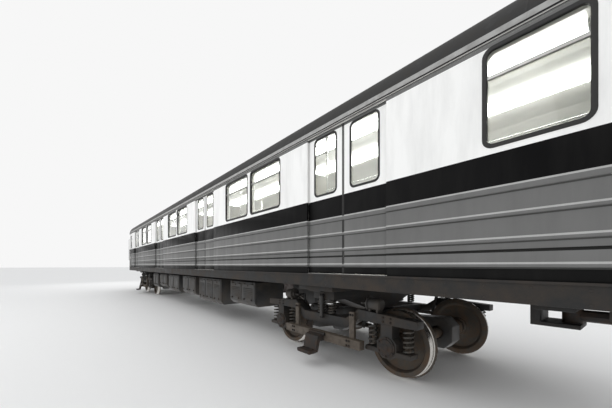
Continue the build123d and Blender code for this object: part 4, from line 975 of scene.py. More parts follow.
def pad(name, low, high, places, crown, top_axis=2):
    """A long upholstered pad: a box whose face is crowned and drawn in at a seam between places."""
    low, high = zip(*(sorted(pair) for pair in zip(low, high)))
    middle = [(a + b) / 2 for a, b in zip(low, high)]
    piece = block(name, low, high, 0.022, 4)
    edit(piece)
    bpy.ops.mesh.quads_convert_to_tris()
    free()
    modify(piece, "REMESH", mode="VOXEL", voxel_size=0.016)
    length = high[0] - low[0]
    seam_width, seam_depth = 0.018, 0.012
    side = 1 if middle[1] > 0 else -1
    across = 3 - top_axis
    for vertex in piece.data.vertices:
        spot, pull = vertex.co, vertex.co - Vector(middle)
        share = (spot.x - low[0]) / length * places % 1.0
        seam = min(share, 1 - share) * length / places
        dip = seam_depth * math.exp(-((seam / seam_width) ** 2))
        swell = min(1.0, 4 * share * (1 - share)) ** 0.6
        inner = 1 - 2 * abs((spot[across] - middle[across]) / (high[across] - low[across]))
        rise = crown * swell * max(0.0, inner) ** 0.5
        if top_axis == 2:
            spot.z += (rise - dip if pull.z > 0 else 0) - crown
        elif pull.y * side < 0:
            spot.y += side * (crown - rise + dip)
    return smooth(piece, 3.1)


# Outlines of turned models here and below are radii and heights
COVER = (
    (0, 0.032), (0.036, 0.032), (0.046, 0.024), (0.086, 0.021),
    (0.094, 0.012), (0.114, 0.012), (0.114, 0), (0, 0),
)
DAMPER = (
    (0, 0), (0.018, 0), (0.018, 0.02), (0.026, 0.026), (0.026, 0.19),
    (0.033, 0.192), (0.033, 0.308), (0.018, 0.314), (0.018, 0.335), (0, 0.335),
)
BRAKE_CYLINDER = (
    (0, 0), (0.05, 0), (0.068, 0.01), (0.075, 0.03), (0.075, 0.16),
    (0.091, 0.163), (0.091, 0.18), (0.05, 0.184), (0.044, 0.202), (0.017, 0.204),
    (0.017, 0.285), (0, 0.285),
)


class METRO_OT_bogies(bpy.types.Operator):
    """Rounds the bogie frames and adds axle-box covers, dampers and brake cylinders with their levers"""

    bl_idname = "metro.bogies"
    bl_label = "Bogies"

    def execute(self, context):
        cover = turned("cover", COVER)
        damper = turned("damper", DAMPER, 20)
        cylinder = turned("cylinder", BRAKE_CYLINDER, 28)
        foot = block("foot", (-0.014, -0.05, -0.0325), (0.014, 0.05, 0.0325), 0.004)
        bolt = hex_head(0.011, 0.009)
        # How far out the axle boxes' covers, the rings of bolts on them and the boxes' own bolts are
        cover_y, ring_y, box_y = 1.0849, 1.0965, 1.0799
        lever = [(0.637, 0.9), (0.682, 0.885), (0.592, 0.53), (0.545, 0.542)]
        for end, pivot in PIVOTS.items():
            body = "bogie_" + end
            smooth_copy("bogie_frame_" + end, "frame", "bogie_paint", 0.007, body=body)
            smooth_copy("brake_gear_" + end, "cast", "cast_iron", 0.004, body=body)
            covers, dampers, brakes = [], [], []
            for side in (1, -1):
                out = (0, side, 0)
                # A damper between each pair of crosshead springs, with its pins
                dampers.append(put(damper, (pivot, side * 1.116, 0.607)))
                for z in (0.617, 0.932):
                    ends = (pivot, side * 1.07, z), (pivot, side * 1.15, z)
                    dampers.append(rod("pin", *ends, 0.013, 16, 0.002))
                    dampers.append(put(bolt, (pivot, side * 1.149, z), out))
                for s in (1, -1):
                    axle = pivot + s * AXLE_STEP
                    covers.append(put(cover, (axle, side * cover_y, AXLE_Z), out))
                    covers += put_ring(bolt, (axle, side * ring_y, AXLE_Z), out, 0.102, 6)
                    for z in (0.7, 0.745):
                        covers += [put(bolt, (axle + step, side * box_y, z), out) for step in (-0.05, 0.05)]
                    # The cylinder lies on the beam, and its lever reaches down to the shoe's arm
                    brakes.append(put(cylinder, (pivot + s * 0.94, side * BEAM_Y, 0.876), (-s, 0, 0)))
                    spots = [(pivot + s * x, side * BEAM_Y, 0.7975) for x in (0.9, 0.79)]
                    brakes += [copy_of(foot, "foot", spot) for spot in spots]
                    points = [(pivot + s * x, side * 0.89, z) for x, z in lever]
                    brakes.append(prism("lever", points, (0, side * 0.022, 0), 0.005))
                    for x, z, near, far in ((0.659, 0.876, 0.88, 1.03), (0.57, 0.556, 0.77, 0.925)):
                        near, far = ((pivot + s * x, side * y, z) for y in (near, far))
                        brakes += [rod("pin", near, far, 0.013, 16, 0.002), put(bolt, far, out)]
            fit(f"axle_box_covers_{end}", covers, "cast", "cast_iron", body=body)
            fit(f"dampers_{end}", dampers, "equipment", "bogie_paint", body=body)
            fit(f"brake_cylinders_{end}", brakes, "equipment", "bogie_paint", body=body)
        drop(cover, damper, cylinder, foot, bolt)
        return {"FINISHED"}


END_BELL = (
    (0, 0.03), (0.06, 0.03), (0.075, 0.022), (0.16, 0.018),
    (0.185, 0.012), (0.205, 0.012), (0.205, 0), (0, 0),
)


class METRO_OT_motors(bpy.types.Operator):
    """Rounds the traction motors and adds their end bells, inspection covers and bolts"""

    bl_idname = "metro.motors"
    bl_label = "Traction motors"

    def execute(self, context):
        bell = turned("bell", END_BELL, 40)
        bolt = hex_head(0.012, 0.01)
        for end, pivot in PIVOTS.items():
            body = "bogie_" + end
            smooth_copy("traction_motors_" + end, "equipment", "equipment_paint", 0.012, 3, body)
            fittings = []
            for s in (1, -1):
                # The motor lies between the bogie's middle and an axle, its bell away from the gear case
                x, y, z, out = pivot + s * 0.59, -s * 0.12, AXLE_Z + 0.02, (0, -s, 0)
                bell_y = y - s * 0.3098
                fittings.append(put(bell, (x, bell_y, z), out))
                fittings += put_ring(bolt, (x, bell_y - s * 0.0118, z), out, 0.19, 10)
                # Two inspection covers over the commutator, above and below
                for way in (1, -1):
                    low = (x - 0.07, y - s * 0.26, z + way * 0.2308)
                    high = (x + 0.07, y - s * 0.08, z + way * 0.2428)
                    fittings.append(block("lid", low, high, 0.004))
                # Bolts round the gear case
                for step, rise in ((0.16, 0.08), (0.16, -0.08), (0.07, 0.16), (0.07, -0.16)):
                    spot = (pivot + s * (AXLE_STEP + step), s * 0.3148, AXLE_Z + rise)
                    fittings.append(put(bolt, spot, (0, s, 0)))
            fit(f"motor_fittings_{end}", fittings, "cast", "equipment_paint", body=body)
        drop(bell, bolt)
        return {"FINISHED"}


class METRO_OT_collectors(bpy.types.Operator):
    """Rounds the current collectors, gives their shoes a steel face and bolts their beams"""

    bl_idname = "metro.collectors"
    bl_label = "Current collectors"

    def execute(self, context):
        bolt = hex_head(0.012, 0.01)
        stud = block("stud", (-0.012, -0.012, -0.0061), (0.012, 0.012, 0.0061), 0.003)
        for end, pivot in PIVOTS.items():
            body, node = "bogie_" + end, "current_collectors_" + end
            piece = smooth_copy(node, "insulator", "insulator", 0.005, body=body)
            piece.data.materials.append(finishes["cast"])
            for face in piece.data.polygons:
                face.material_index = int(abs(face.center.y) > 1.2 and face.center.z < 0.42)
            bolts = []
            for side in (1, -1):
                # Bolts in the beam's brackets, two rows below and one above
                for step in (-0.58, -0.54, 0.54, 0.58):
                    for y, z in ((1.1902, 0.408), (1.1902, 0.348), (1.1202, 0.72)):
                        bolts.append(put(bolt, (pivot + step, side * y, z), (0, side, 0)))
                spots = [(pivot + step, side * 1.37, 0.2299) for step in (-0.09, 0.09)]
                bolts += [copy_of(stud, "stud", spot) for spot in spots]
                # The wear plate under the shoe, and the knuckle that the arm turns on
                low, high = (pivot - 0.125, side * 1.33, 0.1785), (pivot + 0.125, side * 1.448, 0.1885)
                bolts.append(block("wear_plate", low, high, 0.003))
                ends = [(pivot + reach, side * 1.203, 0.415) for reach in (-0.16, 0.16)]
                bolts.append(rod("knuckle", *ends, 0.022, 20, 0.003))
            fit(f"collector_fittings_{end}", bolts, "cast", "cast_iron", body=body)
        drop(bolt, stud)
        return {"FINISHED"}


class METRO_OT_equipment(bpy.types.Operator):
    """Gives the equipment boxes their lids, hinges, latches, louvres and lifting lugs"""

    bl_idname = "metro.equipment"
    bl_label = "Equipment boxes"

    def execute(self, context):
        smooth_copy("equipment_boxes", "equipment", "equipment_paint", 0.008)
        latch = turned("latch", ((0, 0.022), (0.014, 0.022), (0.02, 0.016), (0.02, 0), (0, 0)), 20)
        bolt = hex_head(0.01, 0.008)
        hinge = rod("hinge", (-0.035, 0, 0), (0.035, 0, 0), 0.009, 14, 0.002)
        lug = block("lug", (-0.02, -0.028, -0.0102), (0.02, 0.028, 0.0102), 0.004)
        lid_width, gap, rim, pitch = 0.55, 0.03, 0.06, 0.035
        lids, fittings = [], []
        # Every third box has louvres in its lids, and the others a pressed panel
        for number, (low, high) in enumerate(solids_of("equipment_boxes")):
            side = 1 if low.y > 0 else -1
            face = side * max(abs(low.y), abs(high.y))
            count = max(1, round((high.x - low.x) / lid_width))
            width = (high.x - low.x) / count
            bottom, top = low.z + 0.1, high.z - 0.045
            fins = []
            if number % 3 == 1:
                outline = ((0.009, 0), (0.024, -0.002), (0.009, 0.02))
                points = [(0, face + side * y, z) for y, z in outline]
                fins.append(prism("louvre", points, (width - 2 * (gap + rim), 0, 0)))
            for i in range(count):
                left, right = low.x + i * width + gap, low.x + (i + 1) * width - gap
                near, far, on_lid = face - side * 0.004, face + side * 0.01, face + side * 0.0098
                lids.append(block("lid", (left, near, bottom), (right, far, top), 0.006))
                if fins:
                    for row in range(int((top - bottom - 2 * rim) / pitch)):
                        step = (left + rim, 0, bottom + rim + 0.01 + row * pitch)
                        lids.append(copy_of(fins[0], "louvre", step))
                else:
                    corner = (left + rim, face + side * 0.006, bottom + rim)
                    other = (right - rim, face + side * 0.015, top - rim)
                    lids.append(block("panel", corner, other, 0.007, 3))
                for x in (left + 0.09, right - 0.09):
                    fittings.append(put(latch, (x, on_lid, bottom + 0.03), (0, side, 0)))
                    fittings.append(copy_of(hinge, "hinge", (x, face + side * 0.012, top + 0.008)))
                fittings.append(put(bolt, ((left + right) / 2, on_lid, top - 0.028), (0, side, 0)))
            for x in (low.x + 0.12, high.x - 0.12):
                fittings.append(copy_of(lug, "lug", (x, face - side * 0.022, high.z - 0.0098)))
            if fins:
                drop(*fins)
        drop(latch, bolt, hinge, lug)
        fit("equipment_lids", lids, "equipment", "equipment_paint")
        fit("equipment_latches", fittings, "cast", "cast_iron")
        return {"FINISHED"}


RESERVOIR = (
    (0, 0), (0.06, 0.008), (0.11, 0.03), (0.139, 0.066), (0.1496, 0.115),
    (0.1496, 1.385), (0.139, 1.434), (0.11, 1.47), (0.06, 1.492), (0, 1.5),
)
BAND = ((0.1502, 0), (0.1535, 0), (0.1535, 0.05), (0.1502, 0.05), (0.1502, 0))


class METRO_OT_reservoirs(bpy.types.Operator):
    """Replaces the air reservoirs with vessels that have dished ends, bands and hangers"""

    bl_idname = "metro.reservoirs"
    bl_label = "Air reservoirs"

    def execute(self, context):
        vessel = turned("vessel", RESERVOIR, 48)
        band = turned("band", BAND, 48)
        bolt = hex_head(0.009, 0.008)
        solids = solids_of("air_reservoirs")
        tanks = [(low, high) for low, high in solids if high.x - low.x > 1]
        straps = [(low, high) for low, high in solids if high.x - low.x < 1]
        made = []
        for low, high in tanks:
            y, z = (low.y + high.y) / 2, (low.z + high.z) / 2
            made.append(put(vessel, (low.x, y, z), (1, 0, 0)))
            ends = [((low.x + high.x) / 2, y, low.z + reach) for reach in (-0.02, 0.02)]
            made.append(rod("drain", *ends, 0.016, 16, 0.003))
            for strap_low, strap_high in straps:
                middle = (strap_low.x + strap_high.x) / 2
                if low.x < middle < high.x:
                    made.append(put(band, (middle - 0.025, y, z), (1, 0, 0)))
                    for side in (1, -1):
                        spot = (middle, y + side * 0.0615, strap_low.z + 0.05)
                        made.append(put(bolt, spot, (0, side, 0)))
        for low, high in straps:
            y = (low.y + high.y) / 2
            corner = (low.x, y - 0.062, low.z - 0.012)
            made.append(block("hanger", corner, (high.x, y + 0.062, high.z), 0.004))
        drop(vessel, band, bolt)
        piece = smooth(join("air_reservoir_vessels", made), 0.6)
        finish_piece(piece, "equipment", "equipment_paint", "air_reservoirs")
        return {"FINISHED"}


BEAD = ((0.006, 0), (0.016, 0), (0.02, 0.006), (0.02, 0.02), (0.016, 0.026), (0.006, 0.026), (0.006, 0))


class METRO_OT_resistors(bpy.types.Operator):
    """Replaces the braking resistors with trays, thin strips and porcelain spacers"""

    bl_idname = "metro.resistors"
    bl_label = "Braking resistors"

    def execute(self, context):
        solids = solids_of("resistor_bank")
        trays = [(low, high) for low, high in solids if high.x - low.x > 1]
        plates = [(low, high) for low, high in solids if high.x - low.x < 1]
        bead = turned("bead", BEAD, 14)
        low, high = plates[0]
        half = (high - low) / 2
        corner = Vector((0.0015, half.y - 0.01, half.z))
        strip = block("strip", -corner, corner, 0.0006, 1)
        tie = rod("tie", (-0.14, 0, 0), (0.14, 0, 0), 0.007, 10)
        frames = [block("tray", low, high, 0.006) for low, high in trays]
        rim, pitch = 0.06, 0.034
        strips, beads = [], []
        # A post joins the trays at each corner
        foot = min(low.z for low, high in trays) + 0.01
        head = max(high.z for low, high in trays) - 0.01
        post = block("post", (-0.018, -0.018, foot), (0.018, 0.018, head), 0.004)
        (low, high), inset = trays[0], 0.02
        for x in (low.x + inset, high.x - inset):
            frames += [copy_of(post, "post", (x, y, 0)) for y in (low.y + inset, high.y - inset)]
        for low, high in plates:
            middle = (low + high) / 2
            ys, zs = (low.y + rim, middle.y, high.y - rim), (low.z + rim, high.z - rim)
            spots = [(y, z) for y in ys for z in zs]
            for i in range(-3, 4):
                x = middle.x + i * pitch
                strips.append(copy_of(strip, "strip", (x, middle.y, middle.z)))
                beads += [put(bead, (x + 0.003, y, z), (1, 0, 0)) for y, z in spots]
            frames += [copy_of(tie, "tie", (middle.x, y, z)) for y, z in spots]
        drop(bead, strip, tie, post)
        fit("resistor_frames", frames, "frame", "underframe_paint")
        fit("resistor_spacers", beads, "porcelain", "insulator")
        fit("resistor_strips", strips, "resistor", "resistor_steel", "resistor_bank")
        return {"FINISHED"}


class METRO_OT_underframe(bpy.types.Operator):
    """Rounds the underframe's edges, rivets the sole bars and lays plates on the door sills"""

    bl_idname = "metro.underframe"
    bl_label = "Underframe"

    def execute(self, context):
        smooth_copy("underframe", "frame", "underframe_paint", 0.004)
        rivet = turned("rivet", ((0, 0.006), (0.006, 0.005), (0.0105, 0.002), (0.0115, 0), (0, 0)), 8)
        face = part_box("underframe")[1].y - 0.0125
        pitch, margin = 0.3, 0.2
        rivets = []
        for i in range(int((NOSE_X + END_X - 2 * margin) / pitch)):
            x = -END_X + margin + (i + 0.5) * pitch
            for side in (1, -1):
                for z in (1.092, 1.186):
                    rivets.append(put(rivet, (x, side * face, z), (0, side, 0)))
        drop(rivet)
        fit("sole_bar_rivets", rivets, "frame", "underframe_paint")
        under = FLOOR_Z - 0.001
        rib = block("rib", (-0.62, -0.004, under), (0.62, 0.004, FLOOR_Z + 0.0045), 0.0015)
        plates = []
        for x in DOOR_XS:
            for side in (1, -1):
                plates += [copy_of(rib, "rib", (x, side * (1.262 + i * 0.0135), 0)) for i in range(7)]
                low, high = (x - 0.625, side * 1.2545, under), (x + 0.625, side * 1.3495, FLOOR_Z + 0.002)
                plates.append(block("plate", low, high, 0.0008, 1))
        drop(rib)
        fit("door_sill_plates", plates, "alloy", "rail_steel")
        return {"FINISHED"}


class METRO_OT_couplers(bpy.types.Operator):
    """Rounds the couplers' castings and adds the levers, the bolts and the contact pins"""

    bl_idname = "metro.couplers"
    bl_label = "Couplers"

    def execute(self, context):
        bolt = hex_head(0.012, 0.009)
        pin = turned("pin", ((0, 0.013), (0.005, 0.012), (0.008, 0.008), (0.008, 0), (0, 0)), 12)
        for end, s in (("front", 1), ("rear", -1)):
            node = "coupler_" + end
            smooth_copy(node, "cast", "cast_iron", 0.008, body=node)
            fittings, pins = [], []
            for side in (-1, 1):
                for rise in (-0.063, 0.063):
                    spot = (s * 9.515, side * 0.1698, COUPLER_Z + rise)
                    fittings.append(put(bolt, spot, (0, side, 0)))
            for y in (-0.05, 0.05):
                fittings.append(put(bolt, (s * 9.5, y, COUPLER_Z + 0.1398), (0, 0, 1)))
            # The lever that releases the lock, on top of the head
            lever = [(s * 9.46, y, z) for y, z in ((-0.02, 1.0), (0.02, 1.0), (0.16, 1.012), (0.175, 1.0))]
            fittings.append(pipe("lever", lever, 0.009, 0.012))
            # The box of electric contacts under the head, with three rows of ten pins
            box_z = COUPLER_Z - 0.205
            low, high = (s * 9.574, -0.13, box_z - 0.055), (s * 9.58, 0.13, box_z + 0.055)
            fittings.append(block("lid", low, high, 0.003))
            for row in range(3):
                for column in range(10):
                    spot = (s * 9.5798, -0.108 + 0.024 * column, box_z + 0.03 * (row - 1))
                    pins.append(put(pin, spot, (s, 0, 0)))
            fit(node + "_fittings", fittings, "frame", "cast_iron", body=node)
            fit(node + "_contacts", pins, "alloy", "cast_iron", body=node)
        drop(bolt, pin)
        return {"FINISHED"}


class METRO_OT_seats(bpy.types.Operator):
    """Upholsters the benches with crowned, seamed pads"""

    bl_idname = "metro.seats"
    bl_label = "Seats"

    def execute(self, context):
        low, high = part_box("seat_cushions")
        wall, seat = high.y, low.z
        made = []
        for number, (x, length, places) in enumerate(BENCHES, 1):
            left, right = x - length / 2 + 0.002, x + length / 2 - 0.002
            for side, sign in (("left", 1), ("right", -1)):
                for part, near, far, foot, top, crown, axis in (
                    ("seat", wall - 0.45, wall - 0.07, seat, seat + 0.1, 0.014, 2),
                    ("back", wall - 0.075, wall, seat + 0.1, seat + 0.515, 0.012, 1),
                ):
                    low, high = (left, sign * near, foot), (right, sign * far, top)
                    made.append(pad(f"bench_{number}_{side}_{part}", low, high, places, crown, axis))
        for piece in made:
            finish_piece(piece, "seats", "seat_leatherette")
        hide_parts("seat_cushions")
        return {"FINISHED"}


class METRO_OT_rails(bpy.types.Operator):
    """Replaces the grab rails with round posts and rails, with tees and feet"""

    bl_idname = "metro.rails"
    bl_label = "Grab rails"

    def execute(self, context):
        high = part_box("grab_rails")[1]
        rail_z = FLOOR_Z + 1.86
        tubes = []
        for x, length, _ in BENCHES:
            ends = [x + s * (length / 2 + SCREEN) for s in (1, -1)]
            for y in (high.y - 0.016, 0.016 - high.y):
                for end in ends:
                    for name, low_z, high_z, radius, vertices, edge in (
                        ("post", FLOOR_Z, high.z, 0.0155, 20, 0),
                        ("foot", FLOOR_Z, FLOOR_Z + 0.012, 0.034, 24, 0.003),
                        ("tee", rail_z - 0.026, rail_z + 0.026, 0.019, 20, 0.002),
                    ):
                        tubes.append(rod(name, (end, y, low_z), (end, y, high_z), radius, vertices, edge))
                tubes.append(rod("rail", (ends[0], y, rail_z), (ends[1], y, rail_z), 0.0125, 20))
        fit("grab_rail_tubes", tubes, "tube", "rail_steel", "grab_rails")
        return {"FINISHED"}


REFLECTOR = (
    (0, 0.004), (0.03, 0.006), (0.054, 0.015), (0.07, 0.032),
    (0.076, 0.046), (0.084, 0.046), (0.084, 0), (0, 0),
)
BULB = (
    (0, 0.032), (0.006, 0.03), (0.01, 0.022), (0.009, 0.014),
    (0.005, 0.008), (0.005, 0.002), (0, 0.002),
)
# The lamps' places across and up, their widths and heights, and the scale of what is in them
NOSE_LAMPS = ((0.83, 1.648, 0.42, 0.19, 1.0), (0.64, 3.068, 0.24, 0.09, 0.45))


class METRO_OT_nose(bpy.types.Operator):
    """Fits the nose's lamps and wipers, and the handrails of both ends and beside the cab doors"""

    bl_idname = "metro.nose"
    bl_label = "Nose fittings"

    def execute(self, context):
        # Each lamp is a bezel round a glass, with two reflectors and their bulbs in a hollow case
        reflector = turned("reflector", REFLECTOR, 40)
        bulb = turned("bulb", BULB, 20)
        bezels, panes, cases, dishes, bulbs = [], [], [], [], []
        for y, z, width, height, size in NOSE_LAMPS:
            one = ring("bezel", width, height, 0.014, 0.01, 0.03, 0.012)
            turn_about(one, -90, "Z")
            for side in (1, -1):
                middle = Vector((END_X, side * y, z))
                bezels.append(copy_of(one, "bezel", middle + Vector((0.006, 0, 0))))
                half = Vector((0, width / 2 - 0.0005, height / 2 - 0.0005))
                low = middle - half - Vector((0.059, 0, 0))
                case = block("case", low, middle + half - Vector((0.006, 0, 0)))
                edit(case)
                pick_faces(case, lambda centre, normal: normal.x > 0.9)
                bpy.ops.mesh.inset(thickness=0.007)
                bpy.ops.transform.translate(value=(-0.046, 0, 0))
                free()
                cases.append(case)
                low = middle - half - Vector((0.005, 0, 0))
                panes.append(block("pane", low, middle + half + Vector((0.003, 0, 0)), 0.0015))
                for step in (-0.24, 0.24):
                    seat = middle + Vector((-0.052, step * width, 0))
                    for model, rows in ((reflector, dishes), (bulb, bulbs)):
                        small = copy_of(model, model.name)
                        small.data.transform(Matrix.Diagonal((size, size, 1, 1)))
                        rows.append(put(small, seat, (1, 0, 0)))
                        drop(small)
            drop(one)
        drop(reflector, bulb)
        fit("front_lamp_bezels", bezels, "alloy", "rail_steel")
        fit("front_lamp_cases", cases, "equipment", "equipment_paint")
        fit("front_lamp_reflectors", dishes, "tube", "rail_steel")
        fit("front_lamp_bulbs", bulbs, "glass", "lamp_glass")
        fit("front_lamp_glasses", panes, "lamp", "lamp_glass", "front_lamps")

        # Wipers at rest on the windscreens
        outline = ((0, 0.022), (0.012, 0.022), (0.018, 0.016), (0.022, 0.004), (0.022, 0), (0, 0))
        boss = turned("boss", outline, 24)
        wipers, blades = [], []
        for side in (1, -1):
            foot = Vector((END_X, side * 0.5, 2.214))
            wipers.append(put(boss, foot, (1, 0, 0)))
            tip = foot + Vector((0.022, side * 0.13, 0.29))
            wipers.append(pipe("arm", [tuple(foot + Vector((0.018, 0, 0))), tuple(tip)], 0.0055))
            along = Vector((0, side * 0.34, 0.94))
            across = Vector((0, 0.94, -side * 0.34)) * 0.006
            ends = [tip - 0.22 * along, tip + 0.26 * along]
            outline = [ends[0] - across, ends[1] - across, ends[1] + across, ends[0] + across]
            points = [(END_X + 0.007, p.y, p.z) for p in outline]
            blades.append(prism("blade", points, (0.014, 0, 0), 0.002))
        drop(boss)
        fit("wiper_arms", wipers, "equipment", "rail_steel")
        fit("wiper_blades", blades, "rubber", "body_paint")

        # Handrails: two beside the door at each end, and one on each side of each cab door
        flange = turned("flange", ((0, 0.006), (0.016, 0.006), (0.026, 0.004), (0.028, 0), (0, 0)), 24)
        rails = []
        for side in (1, -1):
            # Where a rail is, which way it faces, how far its ends are sunk, its reach and its heights
            for x, y, out, sunk, reach, low_z, high_z in (
                (END_X, side * 0.345, (1, 0, 0), 0, 0.055, 1.42, 2.12),
                (-END_X, side * 0.345, (-1, 0, 0), 0, 0.055, 1.42, 2.12),
                (8.295, side * 1.3495, (0, side, 0), 0.0045, 0.0555, 1.62, 2.72),
                (8.915, side * 1.3495, (0, side, 0), 0.0045, 0.0555, 1.62, 2.72),
            ):
                foot, head, way = Vector((x, y, low_z)), Vector((x, y, high_z)), Vector(out)
                near, far = -sunk * way, reach * way
                spots = [tuple(p) for p in (foot + near, foot + far, head + far, head + near)]
                rails.append(pipe("rail", spots, 0.011, 0.03))
                rails += [put(flange, spot, out) for spot in (foot, head)]
        drop(flange)
        fit("outside_handrails", rails, "tube", "rail_steel")
        return {"FINISHED"}


LAMP_CAP = ((0.336, 3.428), (0.357, 3.337), (0.503, 3.337), (0.524, 3.399))
GEAR_COVER = ((1.2496, 3.052), (1.238, 3.056), (1.205, 3.128), (1.21, 3.152), (1.2496, 3.14))


class METRO_OT_saloon(bpy.types.Operator):
    """Finishes the saloon: ceiling grilles, lamp caps, door gear covers and the cab's doorway"""

    bl_idname = "metro.saloon"
    bl_label = "Saloon"

    def execute(self, context):
        smooth_copy("seat_frames", "base", "seat_base", 0.004)
        smooth_copy("cab_partition", "lining", "lining", 0.003)
        smooth_copy("ceiling_lamps", "opal", "lamp_diffuser", 0.006, 3)
        trims, covers = [], []
        caps, gear_start, gear_length = 13, -9.32, 17.19
        key = block("key", (-0.02, -0.0075, -0.01), (0.02, 0.0075, 0.01), 0.003)
        cap = prism("cap", [(-0.008, y, z) for y, z in LAMP_CAP], (0.016, 0, 0), 0.002, 1)
        for side in (1, -1):
            for i in range(caps):
                x = LAMP_XS[0] + i * (LAMP_XS[1] - LAMP_XS[0]) / (caps - 1)
                trims.append(copy_of(cap, "cap", (x, 0, 0), flip=None if side > 0 else 1))
            points = [(gear_start, side * y, z) for y, z in GEAR_COVER]
            covers.append(prism("cover", points, (gear_length, 0, 0), 0.004))
            keys = [(x + step, side * 1.2145, 3.105) for x in DOOR_XS for step in (-0.55, 0.55)]
            trims += [copy_of(key, "key", spot) for spot in keys]
            for x, length, _ in BENCHES:
                for end in (x - length / 2 - SCREEN, x + length / 2 + SCREEN):
                    ends = (end, side * 0.785, 2.692), (end, side * 1.2495, 2.692)
                    trims.append(rod("edge", *ends, 0.0135, 18))
        drop(key, cap)
        # A ceiling grille is a tray with nine slanting slats
        tray = block("tray", (-0.28, -0.115, 3.438), (0.28, 0.115, 3.4515))
        edit(tray)
        pick_faces(tray, lambda centre, normal: normal.z < -0.9)
        bpy.ops.mesh.inset(thickness=0.018)
        bpy.ops.transform.translate(value=(0, 0, 0.009))
        free()
        soften(tray, 0.002, 1)
        outline = ((-0.009, 3.4385), (0.004, 3.4465), (0.007, 3.4455), (-0.006, 3.4375))
        slat = prism("slat", [(-0.265, y, z) for y, z in outline], (0.53, 0, 0))
        slats = [copy_of(slat, "slat", (0, -0.088 + 0.022 * row, 0)) for row in range(9)]
        grille = join("grille", [tray] + slats)
        grilles = [copy_of(grille, "grille", (x, 0, 0)) for x in (-7.4, -4.6, -1.8, 1.0, 3.8, 6.6)]
        drop(slat, grille)
        # The frame of the cab's doorway: two posts, a head and a sill
        for near, foot, far, head in (
            (-0.31, 1.286, -0.28, 3.115),
            (0.28, 1.286, 0.31, 3.115),
            (-0.28, 3.086, 0.28, 3.115),
            (-0.28, 1.27, 0.28, 1.288),
        ):
            trims.append(block("architrave", (7.872, near, foot), (7.928, far, head), 0.004))
        fit("saloon_trims", trims, "alloy", "rail_steel")
        fit("door_gear_covers", covers, "lining", "lining")
        fit("ceiling_grilles", grilles, "lining", "lining")
        return {"FINISHED"}


STEM = (
    (0, 0), (0.165, 0), (0.17, 0.006), (0.165, 0.018), (0.06, 0.03), (0.045, 0.05),
    (0.045, 0.21), (0.032, 0.215), (0.032, 0.385), (0, 0.385),
)
BUTTON = ((0, 0.014), (0.009, 0.013), (0.011, 0.01), (0.011, 0.004), (0.015, 0.003), (0.015, 0), (0, 0))
KNOB = ((0, 0), (0.008, 0), (0.01, 0.02), (0.019, 0.03), (0.021, 0.043), (0.015, 0.055), (0, 0.058))
BEZEL = ((0.044, 0), (0.052, 0), (0.054, 0.005), (0.052, 0.012), (0.046, 0.014), (0.044, 0.01), (0.044, 0))
LEAN = -5  # degrees, of the driver's seat back


